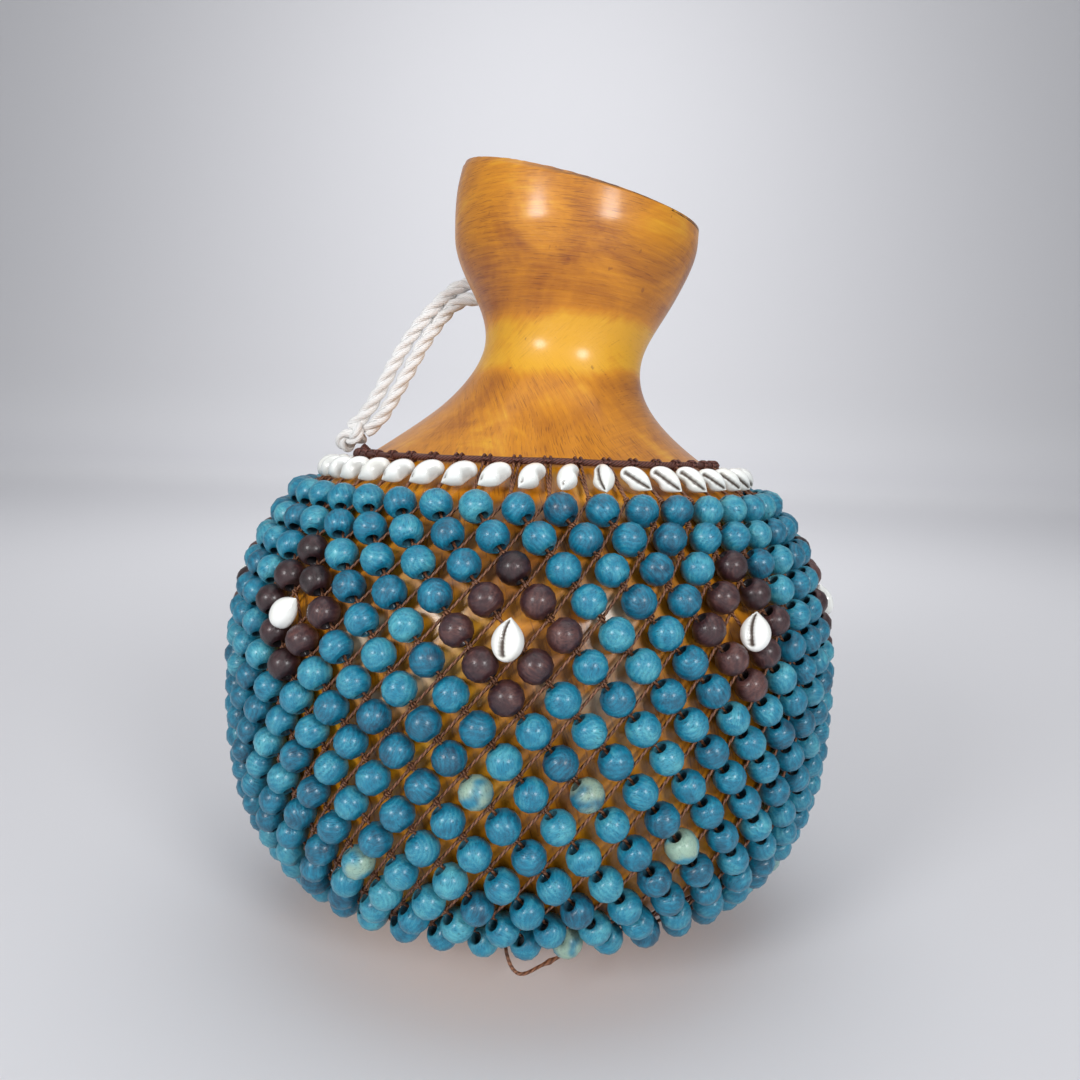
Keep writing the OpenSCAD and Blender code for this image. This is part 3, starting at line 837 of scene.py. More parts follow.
@dataclass
class Net:
    """The net's lattice, in millimetres and with the names of the part's source.

    Rows of beads lie one cord length apart along the slant from column to column. A knot lies at
    the lower right of each bead, and ring k of knots hangs under row k.

    Attributes:
        first_row: the first row's angle on the bulb, in degrees.
        turn: where column 0 lies, in degrees from the front.
        motifs: how many dark diamonds there are, and motif_row is the row of their middles.
        mesh_edge: length of cord from bead to bead in the upper rows, and mesh_low in the lower.
        slack_from: the bulb's angle where the one length starts to pass into the other, at slack_to.
        knot_lift: how far a knot's middle stands off the gourd.
        mm_per_degree: how far a degree of the bulb's angle reaches along its skin, roughly.
        pitch: degrees from column to column.
        lift: how far a bead's middle stands off the gourd.
        row_angle: each row's angle on the bulb, from the top, and one more for the hem.
    """

    form: GourdForm
    bead_d: float = 12.0
    bead_gap: float = 0.4
    columns: int = 45
    rows: int = 16
    first_row: float = 36.5
    turn: float = -2.8
    motifs: int = 9
    motif_row: int = 5
    cord_d: float = 1.2
    mesh_edge: float = 14.3
    mesh_low: float = 15.3
    slack_from: float = 12.0
    slack_to: float = -20.0
    knot_lift: float = 4.85
    mm_per_degree: float = 2.3
    pitch: float = field(init=False)
    lift: float = field(init=False)
    row_angle: list[float] = field(init=False)

    def __post_init__(self) -> None:
        """Walks down the bulb from the first row, one row gap at a time."""
        self.pitch = 360 / self.columns
        self.lift = self.bead_d / 2 + self.bead_gap
        self.row_angle = [self.first_row]
        for _ in range(self.rows):
            here = self.row_angle[-1]
            slack = smooth((self.slack_from - here) / (self.slack_from - self.slack_to))
            edge = self.mesh_edge + (self.mesh_low - self.mesh_edge) * slack
            start = self.form.over(here, self.lift)
            gap = math.sqrt(edge**2 - (start[0] * math.pi / self.columns) ** 2)
            guess = here - gap / self.mm_per_degree
            for _ in range(8):
                step = np.linalg.norm(start - self.form.over(guess, self.lift))
                guess += (step - gap) / self.mm_per_degree
            self.row_angle.append(float(guess))

    def shift(self, row: int) -> float:
        """Half a column on every other row."""
        return 0.5 if row % 2 == 0 else 0.0

    def bead_at(self, row: int, column: Array) -> Array:
        """Centres of beads."""
        turn = self.turn + (column + self.shift(row)) * self.pitch
        return around(self.form.over(self.row_angle[row - 1], self.lift), turn)

    def ring_angle(self, ring: int) -> float:
        """The bulb's angle at a ring of knots; ring 0 lies over the first row."""
        if ring == 0:
            return 1.5 * self.row_angle[0] - 0.5 * self.row_angle[1]
        return (self.row_angle[ring - 1] + self.row_angle[ring]) / 2

    def knot_at(self, ring: int, column: Array) -> Array:
        """Centres of knots, lifted where the bulb bows out between two rows."""
        a, half = self.ring_angle(ring), (self.row_angle[0] - self.row_angle[1]) / 2
        chord = (self.form.bulb(a + half) + self.form.bulb(a - half)) / 2
        bow = np.linalg.norm(self.form.bulb(a) - chord)
        return around(self.form.over(a, self.knot_lift + bow), self.knot_turn(ring, column))

    def knot_turn(self, ring: int, column: Array) -> Array:
        """Angles of knots from the front."""
        return self.turn + (column + self.shift(ring) + 0.25) * self.pitch

    def left_over(self, ring: int, column: Array) -> Array:
        """The column of the knot to the upper left of a knot."""
        return column + (0 if ring % 2 == 0 else -1)

    def off_motif(self, row: int, column: Array) -> Array:
        """Columns from a bead to the middle of its dark diamond."""
        c = column + self.shift(row)
        pitch = self.columns / self.motifs
        return c - pitch * np.round(c / pitch)

    def is_dark(self, row: int, column: Array) -> Array:
        """Whether beads belong to the ring of eight dark ones round a cowrie."""
        return np.isclose(np.abs(self.off_motif(row, column)) + abs(row - self.motif_row) / 2, 1)

    def is_cowrie(self, row: int, column: Array) -> Array:
        """Whether a cowrie takes a bead's place."""
        return np.isclose(self.off_motif(row, column), 0) & (row == self.motif_row)

    def frame_at(self, angle: float, lift: float, turn: Array) -> tuple[Array, Array, Array, Array]:
        """A place over the bulb, and there the directions to the left, outwards and up the slope."""
        n = self.form.normal(angle)
        out = around(n, turn)
        rise = around(np.array([-n[1], n[0]]), turn)
        return around(self.form.over(angle, lift), turn), np.cross(out, rise), out, rise


# ---- Gourd ----
@dataclass
class Gourd:
    """The dried gourd: one closed shell from the middle of the foot, up the outside, over the rim
    and down the inside to the middle of the floor.

    Attributes:
        sectors: points round a ring; bulb_rings, neck_rings and rim_rings count the rings.
        lump: height of the slow waves on the neck and cup.
        crown: how far the rim's middle stands over its two edges.
        nick: depth of the unevenness of the hand-cut rim.
        round_off: how far the rim falls off just inside its edges.
        rope_hole: width of the hole in the cup, and hole_place is the inner end of its axis.
    """

    form: GourdForm
    finish: VarnishedGourd = field(default_factory=VarnishedGourd)
    sectors: int = 168
    bulb_rings: int = 84
    neck_rings: int = 76
    rim_rings: int = 7
    lump: float = 0.35
    crown: float = 1.7
    nick: float = 0.28
    round_off: float = 0.9
    rope_hole: float = 16.0
    hole_place: tuple[float, float, float] = (-16.4, 15.0, 280.0)

    def swelling(self, points: Array) -> Array:
        """How far the skin swells: slow waves over the cup and neck, next to none under the net."""
        x, y, z = (points[..., k] for k in range(3))
        cross = np.sin(0.05 * x + 0.031 * z + 1.0) * np.sin(0.043 * y - 0.05 * z)
        waves = cross + 0.5 * np.sin(0.09 * z + 0.06 * x)
        return self.lump * waves * smooth((z - 205) / 25) * smooth((332 - z) / 12)

    @staticmethod
    def disc(radii: Array, height: float, turn: Array) -> Array:
        """Flat rings of the given radii at a height."""
        return around(np.stack([radii, np.full(len(radii), height)], -1)[:, None], turn)

    def surface(self) -> tuple[Array, Array, Array]:
        """The shell's rings, and for each ring how far it is an inside and a rim."""
        form = self.form
        turn = np.arange(self.sectors) * 360 / self.sectors
        span = form.flat_angle, form.shoulder_angle
        angles = np.linspace(*span, self.bulb_rings, endpoint=False)[:, None]
        heights = np.linspace(form.shoulder_z, form.rim_z, self.neck_rings)[:, None]
        top = heights == form.rim_z
        outside, inside = (
            np.concatenate(
                [around(form.over(angles, -depth), turn), form.neck_point(heights, turn, depth, top)]
            )
            for depth in (0.0, form.wall)
        )
        flat = form.bulb(form.flat_angle)[0]
        foot = self.disc(np.linspace(2, flat - 2, 6), 0.0, turn)
        floor = self.disc(np.linspace(flat - 4, 2, 6), form.wall, turn)
        swell = self.swelling(outside)[..., None] * unit(outside - inside)
        outside, inside = outside + swell, inside + swell
        across = np.linspace(0, 1, self.rim_rings + 2)[1:-1, None, None]
        off_middle = np.abs(2 * across[..., 0] - 1)
        nicks = self.nick * np.sin(turn * 0.31 + 2 * np.sin(turn * 0.17)) * np.sin(turn * 0.73)
        rim = outside[-1] * (1 - across) + inside[-1] * across
        rim[..., 2] += nicks * (1 - off_middle) - self.round_off * off_middle**4
        outside[-1, :, 2] -= self.crown
        inside[-1, :, 2] -= self.crown
        shell = np.concatenate([foot, outside, rim, inside[::-1], floor])
        before, after = len(foot) + len(outside), len(inside) + len(floor)
        wall = np.concatenate([np.zeros(before), np.linspace(0, 1, self.rim_rings), np.ones(after)])
        lip = np.zeros(len(shell))
        lip[before - 1 : before + self.rim_rings + 1] = 1
        return shell, wall, lip

    def build(self) -> None:
        """Makes the gourd and bores the rope's hole through its cup."""
        shell, wall, lip = self.surface()
        skin = Skin("gourd_shell", values=("wall", "rim"))
        skin.add(shell, caps=True, wall=wall[:, None], rim=lip[:, None])
        obj = skin.build(self.finish.build(), None, "gourd")
        self.bore(obj)
        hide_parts("gourd")
        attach(obj, "gourd")

    def bore(self, obj: bpy.types.Object) -> None:
        """Cuts a cylinder out of the cup's wall and keeps the result as the mesh."""
        inner = np.array(self.hole_place)
        path = between(inner, inner - [self.form.cup_r, 0, 0], 3)
        drill = Skin("rope_drill")
        drill.add(tube(path, self.rope_hole / 2, 48, UP), caps=True)
        cutter = drill.build(obj.data.materials[0])
        cut = obj.modifiers.new("rope hole", "BOOLEAN")
        cut.operation, cut.solver, cut.object = "DIFFERENCE", "EXACT", cutter
        graph = bpy.context.evaluated_depsgraph_get()
        bored = bpy.data.meshes.new_from_object(obj.evaluated_get(graph))
        obj.modifiers.clear()
        obj.data = bored
        bpy.data.objects.remove(cutter)


# ---- Net ----
@dataclass
class BeadStock:
    """Turned beads: a round profile with a bore, made once for all beads of one piece.

    The profile runs up the outside as an arc and back down the bore, and is carried round the
    bead's axis. Each bead's blank is turned by a random rotation, so that its grain lies anyhow.

    Attributes:
        sides: points round the axis, and outer counts those of the arc.
        bore: width of the bore.
        squeeze: length along the axis as a share of the width.
        rounding: how far the facets' corners stand out, so that the bead's mean width is right.
        sway: spread of the axis off the cord.
        slide: how far a bead may lie along its cord, least and most.
        stand_off: how far the net hangs off the gourd.
        sizes: least and greatest size of a bead.
        grain_shift: how far from a blank's heart a bead may be cut, in radii.
        pale: row and column of beads that are seen to be worn, and pale_share is the share of
            others that are.
    """

    net: Net
    sides: int = 14
    outer: int = 6
    bore: float = 4.6
    squeeze: float = 0.98
    rounding: float = 1.05
    sway: float = 0.05
    slide: tuple[float, float] = (-0.25, 0.35)
    stand_off: float = 0.25
    sizes: tuple[float, float] = (0.985, 1.03)
    grain_shift: float = 0.9
    pale: tuple[tuple[int, int], ...] = ((10, -1), (10, 1), (13, -3), (12, 3), (15, 8))
    pale_share: float = 0.012

    def profile(self) -> Array:
        """(n, 3) radius, height along the axis, and how far a point is inside the bore."""
        r = self.net.bead_d / 2 * self.rounding
        start = math.degrees(math.asin(self.bore / 2 / r)) + 4
        polar = np.radians(np.linspace(180 - start, start, self.outer))
        outside = np.stack([r * np.sin(polar), r * np.cos(polar) * self.squeeze, 0 * polar], -1)
        mouth = r * math.cos(math.radians(start)) * self.squeeze - 0.5
        inside = np.array([[self.bore / 2 - 0.1, mouth, 0.8], [self.bore / 2 - 0.2, -mouth, 0.8]])
        return np.concatenate([outside, inside])

    def add(self, skin: Skin, row: int, columns: Array, random: np.random.Generator) -> None:
        """Adds one row's beads at the given columns, on the cord from upper left to lower right."""
        net, count = self.net, len(columns)
        centre = net.bead_at(row, columns)
        cord = unit(net.knot_at(row, columns) - net.knot_at(row - 1, net.left_over(row, columns)))
        axis = unit(cord + random.normal(0, self.sway, (count, 3)))
        slide = axis * random.uniform(*self.slide, (count, 1))
        centre = centre + slide + self.stand_off * unit(centre * [1, 1, 0])
        side = unit(np.cross(axis, centre * [1, 1, 0]))
        lift = np.cross(axis, side)
        size = random.uniform(*self.sizes, (count, 1, 1, 1))
        radius, height, hidden = self.profile().T[:, :, None]
        x_axis, y_axis, z_axis = np.eye(3)
        turned = radius[..., None] * spokes(self.sides, x_axis, y_axis) + height[..., None] * z_axis
        local = turned[None] * size
        basis = np.stack([side, lift, axis], 1)
        grid = centre[:, None, None] + np.einsum("cnmk,ckx->cnmx", local, basis)
        blank, _ = np.linalg.qr(random.normal(size=(count, 3, 3)))
        offset = random.uniform(-self.grain_shift, self.grain_shift, (count, 1, 1, 3))
        wood = np.einsum("cnmk,ckx->cnmx", local, blank) * (2 / net.bead_d) + offset
        faded = (random.random(count) < self.pale_share).astype(float)
        for pale_row, pale_column in self.pale:
            faded[(columns == pale_column % net.columns) & (pale_row == row)] = 1
        skin.add(
            grid,
            loop=True,
            wood=wood,
            bore=hidden,
            tint=random.random((count, 1, 1)),
            faded=faded[:, None, None],
        )


@dataclass
class BeadNet:
    """The net that turns round the gourd: beads, knots and cords, row by row.

    Attributes:
        cord_rings: rings along a run of cord, and cord_sides the points round it.
        left_bow: how far the cords through the beads bow outwards, least and most.
        right_bow: the same for the bare cords.
        wraps: turns of cord in a knot, at wrap_radius, with wrap_cord as half the cord's width.
        wrap_rings: rings along the cord of a knot, and wrap_sides the points round it.
    """

    net: Net
    stock: BeadStock
    cord: PliedCord
    seed: int = 20
    cord_rings: int = 9
    cord_sides: int = 6
    left_bow: tuple[float, float] = (-0.3, 0.2)
    right_bow: tuple[float, float] = (-0.4, 0.1)
    wraps: float = 2.3
    wrap_radius: float = 0.85
    wrap_cord: float = 0.55
    wrap_rings: int = 15
    wrap_sides: int = 5

    def __post_init__(self) -> None:
        """Makes the finishes and the source of random numbers."""
        self.random = np.random.default_rng(self.seed)
        self.thread = self.cord.build()
        self.teal = DyedBead(BeadDye.TEAL).build()
        self.plum = DyedBead(BeadDye.PLUM).build()

    def beads(self) -> None:
        """A piece for each row of teal beads, and one for all dark ones."""
        dark = Skin("dark_beads_turned", ("tint", "faded", "bore"), ("wood",))
        for row in range(1, self.net.rows + 1):
            every = np.arange(self.net.columns)
            is_dark = self.net.is_dark(row, every)
            is_teal = ~is_dark & ~self.net.is_cowrie(row, every)
            skin = Skin(f"teal_beads_{row}", ("tint", "faded", "bore"), ("wood",))
            self.stock.add(skin, row, every[is_teal], self.random)
            skin.build(self.teal, "net", "teal_beads", [f"beads_row_{row}"])
            if is_dark.any():
                self.stock.add(dark, row, every[is_dark], self.random)
        dark.build(self.plum, "net", "dark_beads", ["dark_beads"])

    def run(self, skin: Skin, start: Array, end: Array, sag: Array) -> None:
        """Adds cords from start to end that bow by a sag, a half sine wave along the cord."""
        path = between(start, end, self.cord_rings)
        bow = np.sin(np.linspace(0, math.pi, self.cord_rings))[:, None]
        path = path + bow * sag[:, None]
        length = float(np.linalg.norm(end - start, axis=-1).mean())
        out = unit(start * [1, 1, 0])[:, None]
        grid = tube(path, self.net.cord_d / 2, self.cord_sides, out)
        skin.add(grid, caps=True, size=(length, TAU * self.net.cord_d / 2))

    def knots(self, skin: Skin, place: Array, along: Array) -> None:
        """Adds knots: a short helix of cord wrapped round the cord that runs on."""
        out = unit(place * [1, 1, 0.0])
        side = unit(np.cross(along, out))
        lift = np.cross(side, along)
        t = np.linspace(0, 1, self.wrap_rings)
        angle = (TAU * self.wraps * t)[:, None] + self.random.uniform(0, TAU, (len(place), 1, 1))
        helix = np.cos(angle) * side[:, None] + np.sin(angle) * lift[:, None]
        width = 2 * self.wrap_cord * self.wraps
        advance = ((t - 0.5) * width)[:, None] * along[:, None]
        path = place[:, None] + self.wrap_radius * helix + advance
        swell = np.sin(np.linspace(0.25, math.pi - 0.25, self.wrap_rings))
        grid = tube(path, self.wrap_cord * (0.55 + 0.45 * swell), self.wrap_sides, along[:, None])
        skin.add(grid, caps=True, size=(TAU * self.wrap_radius * self.wraps, TAU * self.wrap_cord))

    def rows(self) -> None:
        """A piece for each ring of knots, with the cords that hang it from the ring above."""
        for row in range(1, self.net.rows + 1):
            every = np.arange(self.net.columns)
            knot = self.net.knot_at(row, every)
            left = self.net.knot_at(row - 1, self.net.left_over(row, every))
            right = self.net.knot_at(row - 1, self.net.left_over(row, every) + 1)
            skin = Skin(f"net_cords_{row}")
            out = unit(knot * [1, 1, 0])
            count = len(every)
            self.run(skin, knot, left, out * self.random.uniform(*self.left_bow, (count, 1)))
            self.run(skin, knot, right, out * self.random.uniform(*self.right_bow, (count, 1)))
            self.knots(skin, knot, unit(right - knot))
            skin.build(self.thread, "net", "waxed_cord", [f"net_row_{row}"])

    def build(self) -> None:
        """Makes the whole net."""
        self.beads()
        self.rows()


# ---- Collar, loops and hem ----
@dataclass
class Binding:
    """The cord at the net's top and bottom: a collar with a lark's head for each column, the loops
    that hang the net from it, and the hem under the last row.

    Attributes:
        collar_d: the collar's width with its windings, and core_d that of its core.
        collar_wobble: how far the collar's core wanders up and down, and hem_wobble the hem.
        head_cord: half the width of a lark's head's cord, and head_gap half the space in it.
        hoop_rings: rings along a small ring of cord, and hoop_sides the points round it.
        bar: how far a lark's head's bar stands out and up from its two hoops; it is bar_reach
            times as long as the space between them.
        hem_d: the hem's width with its loops, hem_core that of its core and hem_loop half a loop's.
        tail_points: the end of the hem's cord, which is tail_d wide, after its start.
        tail_out: how far the start stands off the hem; it lies tail_drop under it, and tail_turn
            degrees from the net's first column.
        tail_knot: how much wider the knot in that end is, and tail_knot_at the ring that it lies on,
            of tail_rings.
        bundle_turn: where the rope's knot is tied on, bundle the number of wraps to each side, and
            bundle_out how far they stand outside the lark's heads.
    """

    net: Net
    thread: bpy.types.Material
    plain: bpy.types.Material
    collar_d: float = 4.0
    core_d: float = 2.7
    collar_wobble: float = 0.12
    hem_wobble: float = 0.1
    head_cord: float = 0.55
    head_gap: float = 1.15
    hoop_rings: int = 14
    hoop_sides: int = 5
    bar: tuple[float, float] = (0.25, 0.2)
    bar_reach: float = 1.2
    hem_d: float = 2.4
    hem_core: float = 1.8
    hem_loop: float = 0.5
    tail_points: tuple[tuple[float, float, float], ...] = (
        (-4.5, -104, 9), (-2, -105, 4), (2, -104, 1.6), (9, -98, 1.5), (17, -91, 1.5),
    )  # fmt: skip
    tail_d: float = 1.4
    tail_out: float = 0.85
    tail_drop: float = 0.6
    tail_turn: float = -0.6
    tail_knot: float = 0.55
    tail_knot_at: int = 22
    tail_rings: int = 26
    bundle_turn: float = -82.0
    bundle: int = 4
    bundle_out: float = 0.5

    def __post_init__(self) -> None:
        """Finds the collar's and the hem's place on the gourd."""
        form = self.net.form
        self.collar = form.over(form.shoulder_angle, self.collar_d / 2 + self.net.bead_gap)
        self.hem = form.over(self.net.row_angle[self.net.rows], self.hem_d / 2 + self.net.bead_gap)

    def ring(self, skin: Skin, rz: Array, radius: float, wobble: float, rings: int) -> None:
        """Adds a closed cord round the gourd that wanders a little up and down."""
        turn = np.arange(rings) * 360 / rings
        wander = wobble * (np.sin(np.radians(turn * 7 + 40)) + 0.6 * np.sin(np.radians(turn * 17)))
        path = around(rz, turn) + wander[:, None] * UP
        skin.add(tube(path, radius, 8, UP, closed=True), loop=True, size=(TAU * rz[0], TAU * radius))

    def hoops(
        self, skin: Skin, rz: Array, turn: Array, shift: float, radius: float, cord: float
    ) -> None:
        """Adds small rings of cord that stand round the collar, each as one closed loop."""
        centre = around(rz, turn + np.degrees(shift / rz[0]))
        out, along = outward(turn), outward(turn + 90)
        spoke = spokes(self.hoop_rings, out, UP)
        across = spokes(self.hoop_sides, spoke, along[:, None])
        grid = centre[:, None, None] + radius * spoke[:, :, None] + cord * across
        skin.add(grid, loop=True, flip=True, size=(TAU * radius, TAU * cord))

    def build_collar(self) -> None:
        """The collar: its core, the lark's heads, and a wrapped bundle where the rope is tied."""
        skin = Skin("collar")
        self.ring(skin, self.collar, self.core_d / 2, self.collar_wobble, rings=540)
        turn = self.net.knot_turn(0, np.arange(self.net.columns))
        radius = self.core_d / 2 + self.head_cord
        for shift in (-self.head_gap, self.head_gap):
            self.hoops(skin, self.collar, turn, shift, radius, self.head_cord)
        front = self.collar + self.bar + [radius, 0]
        step = np.degrees(self.head_gap * self.bar_reach / self.collar[0])
        bar = between(around(front, turn - step), around(front, turn + step), 6)
        skin.add(tube(bar, self.head_cord, 6, UP), caps=True, size=(3, 3))
        count = np.arange(-self.bundle, self.bundle + 1)
        wraps = self.bundle_turn + count * np.degrees(self.head_gap / self.collar[0])
        self.hoops(skin, self.collar, wraps, 0.0, radius + self.bundle_out, self.head_cord)
        skin.build(self.plain, "gourd", "waxed_cord", ["collar_cord"])

    def build_loops(self, knotter: BeadNet) -> None:
        """The pairs of cord from the collar to the first knots."""
        net = self.net
        every = np.arange(net.columns)
        knot, turn = net.knot_at(0, every), net.knot_turn(0, every)
        skin = Skin("top_loops")
        for shift in (-self.head_gap, self.head_gap):
            head = around(self.collar, turn + np.degrees(shift / self.collar[0]))
            path = between(knot, head, 9)
            size = (float(np.linalg.norm(head - knot, axis=-1).mean()), TAU * net.cord_d / 2)
            skin.add(tube(path, net.cord_d / 2 * 0.92, 6, outward(turn)[:, None]), caps=True, size=size)
        knotter.knots(skin, knot, unit(around(self.collar, turn) - knot))
        obj = skin.build(self.thread, None, "waxed_cord", ["net_top_loops"])
        top, low = float(self.collar[1]) * MM, float(net.knot_at(0, np.zeros(1))[0, 2]) * MM
        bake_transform(obj)

    def build_hem(self) -> None:
        """The hem cord with the loops that reach it from the last knots."""
        net = self.net
        skin = Skin("hem")
        self.ring(skin, self.hem, self.hem_core / 2, self.hem_wobble, rings=420)
        skin.build(self.plain, "net", "waxed_cord", ["hem_cord"])
        every = np.arange(net.columns)
        turn = net.knot_turn(net.rows, every)
        legs = Skin("hem_legs")
        knot, foot = net.knot_at(net.rows, every), around(self.hem, turn)
        grid = tube(between(knot, foot, 6), net.cord_d / 2, 6, outward(turn)[:, None])
        legs.add(grid, caps=True, size=(5, TAU * net.cord_d / 2))
        self.hoops(legs, self.hem, turn, 0.0, self.hem_core / 2 + self.hem_loop, self.hem_loop)
        legs.build(self.thread, "net", "waxed_cord", ["hem_loops"])

    def build_tail(self) -> None:
        """The hem cord's end, which hangs to the table in front, with a small stopper knot."""
        head = self.hem + [self.hem_d / 2 + self.tail_out, -self.tail_drop]
        start = around(head, self.net.turn + self.tail_turn)
        path = smooth_path(np.vstack([start, np.array(self.tail_points, float)]), self.tail_rings)
        length = path_length(path)
        thick = hump(np.arange(self.tail_rings), self.tail_knot_at, 0.9)
        radius = self.tail_d / 2 + self.tail_knot * thick
        grid = tube(path, radius, 8, np.array([1.0, 0.1, 0.2]))
        skin = Skin("hem_tail_cord")
        skin.add(grid, caps=True, size=(length, TAU * self.tail_d / 2))
        obj = skin.build(self.thread, "net", "waxed_cord", ["hem_tail"])
        tuple(path[0] * MM)
        self.tail_d * MM
        [tuple(p) for p in path * MM]

    def build(self, knotter: BeadNet) -> None:
        """Makes all of it, with the net's own way of tying knots."""
        self.build_collar()
        self.build_loops(knotter)
        self.build_hem()
        self.build_tail()


# ---- Shells ----
@dataclass
class Cowries:
    """Money cowries: a ring of tilted ones under the collar, and one in each dark diamond.

    A shell is a grid: along its length the half width is a power of a sine, and round it the back
    is a dome while the mouth side is flattened, with a toothed slit down its middle. The points
    crowd towards the slit.

    Attributes:
        drop: how far under the collar the ring of shells lies.
        length_steps: rings along a collar shell.
        belly: height of the mouth side, and dome of the back, as shares of the width.
        slit_wide: the slit's half width, and slit_deep its depth.
        teeth: how many teeth stand along the slit, and tooth_high their height.
        hole_wide: half the width of the hole in the tip, which lies hole_down from the end.
        mouths: the part of the ring, in degrees from the front, whose shells show their mouths.
        mouth_face: which way those are turned, in radians from mouth outwards.
        collar_lean: degrees from the front, and how far a shell leans there.
        sizes: least and greatest size of a collar shell, and flatter is its shape's factors.
        bites: least and greatest depth of the bite out of a collar shell's side.
        motif_poses: lean and turn, in degrees, of the diamonds' shells that the photograph shows.
    """

    net: Net
    finish: bpy.types.Material
    seed: int = 7
    collar_l: float = 15.0
    collar_w: float = 10.4
    drop: float = 14.5
    motif_l: float = 15.0
    motif_w: float = 11.0
    length_steps: int = 26
    belly: float = 0.36
    dome: float = 0.47
    slit_wide: float = 0.75
    slit_deep: float = 1.5
    teeth: int = 11
    tooth_high: float = 0.28
    hole_wide: float = 0.75
    hole_down: float = 2.3
    mouths: tuple[float, float] = (12.0, 80.0)
    mouth_face: float = -0.92
    collar_lean: tuple[tuple[float, float], ...] = (
        (-24, 46), (-4, 40), (6, 22), (16, -4), (24, -38), (80, -42),
    )  # fmt: skip
    sizes: tuple[float, float] = (0.93, 1.0)
    flatter: tuple[float, float, float] = (0.86, 0.95, 1.0)
    bites: tuple[float, float] = (0.2, 0.42)
    motif_poses: dict[int, tuple[float, float]] = field(
        default_factory=lambda: {0: (5.0, -26.0), 1: (18.0, -75.0), 8: (40.0, 165.0)}
    )

    def shell(self, length: float, width: float, steps: int, sides: int) -> tuple[Array, Array]:
        """One shell along Z, its wide end down and its mouth facing +Y.

        Args:
            length: along Z.
            width: across X.
            steps: rings along the length.
            sides: points round a ring.

        Returns:
            The grid of points, and how dark the hollow is at each.
        """
        # Rings crowd towards both ends, and the points of a ring towards the slit, where phi is 0.
        t = (1 - np.cos(np.linspace(0.08, math.pi - 0.08, steps))) / 2
        s = np.arange(sides) / sides * 2 - 1
        phi = math.pi * np.sign(s) * np.abs(s) ** 1.5
        # The outline is fullest below its middle and runs out to a point at the top.
        half = width / 2 * np.sin(math.pi * t**0.86) ** (0.6 + 0.4 * t**3)
        share = (half / (width / 2))[:, None]
        x = half[:, None] * np.sin(phi)
        c = np.cos(phi)
        # The lower the powers, the flatter the middle: the mouth side is flat and the back a dome.
        mouth_y = self.belly * width * share**0.7 * np.abs(c) ** 0.55
        back_y = -self.dome * width * share**0.9 * np.abs(c) ** 0.9
        # The slit stops short of both ends, bends a little to one side and narrows upwards.
        window = smooth((t - 0.05) / 0.1) * smooth((0.97 - t) / 0.08)
        mouth = np.where(c > 0, window[:, None], 0.0)
        bend = 0.35 * np.sin(math.pi * t)[:, None]
        near = np.abs(x - bend)
        slit = mouth * hump(near, 0.0, self.slit_wide * (1.45 - 0.8 * t[:, None]))
        comb = 0.5 - 0.5 * np.cos(TAU * self.teeth * t)[:, None]
        tooth = mouth * comb * hump(near, 1.0, 0.75)
        y = np.where(c > 0, mouth_y, back_y) - self.slit_deep * slit - self.tooth_high * tooth
        z = np.broadcast_to(-length / 2 + length * t[:, None], x.shape)
        # Painted shade: the slit and the gaps by its teeth are darkened.
        dark = np.clip(slit * 1.25 + tooth * 0.30 - 0.1, 0, 1)
        return np.stack([x, y, z], -1), dark

    def cut_back(self, grid: Array, dark: Array, bite: Array) -> tuple[Array, Array]:
        """The back's marks: a pierced tip for the thread, and a bite cut out of one side.

        Args:
            grid: (1, n, m, 3) the shell, wide end down.
            dark: (1, n, m) how dark each point is.
            bite: (copies, 1, 1) how deep each bite goes, as a share of the half width.

        Returns:
            The marked copies and their darkness, with painted shade added in the pierced hole and in
            the bite's hollow.
        """
        x, y, z = (grid[..., k] for k in range(3))
        back, length = y < 0.3, self.collar_l
        pierced = hump(x, 0.0, self.hole_wide) * hump(z, length / 2 - self.hole_down, self.hole_wide)
        hole = np.where(back, pierced, 0)
        # The bite is a band across one side, a little under the middle, with an uneven edge.
        ragged = z + 0.19 * length + 0.25 * np.sin(2.3 * z + 1.7 * y)
        gone = bite * np.exp(-((ragged / (0.17 * length)) ** 4)) * (x > 0)
        edge = gone * smooth((x / (self.collar_w / 2) - 0.42) / 0.3) * (y < 1.5)
        marked = np.broadcast_arrays(x * (1 - gone), y + 1.2 * hole + 1.3 * edge, z)
        # Painted shade in the hole; in the bite, painted shade together with the brownish grey of the
        # shell's inside.
        return np.stack(marked, -1), np.clip(dark + hole * 0.95 + edge * 0.9, 0, 1)

    def place(self, grid: Array, angle: float, lift: float, turn: Array) -> Array:
        """Puts copies of a shell over the bulb: local X to the left, Y outwards and Z up the slope."""
        centre, left, out, rise = self.net.frame_at(angle, lift, turn)
        basis = np.stack([left, out, rise], 1)
        return centre[:, None, None] + np.einsum("cnmk,ckx->cnmx", grid, basis)

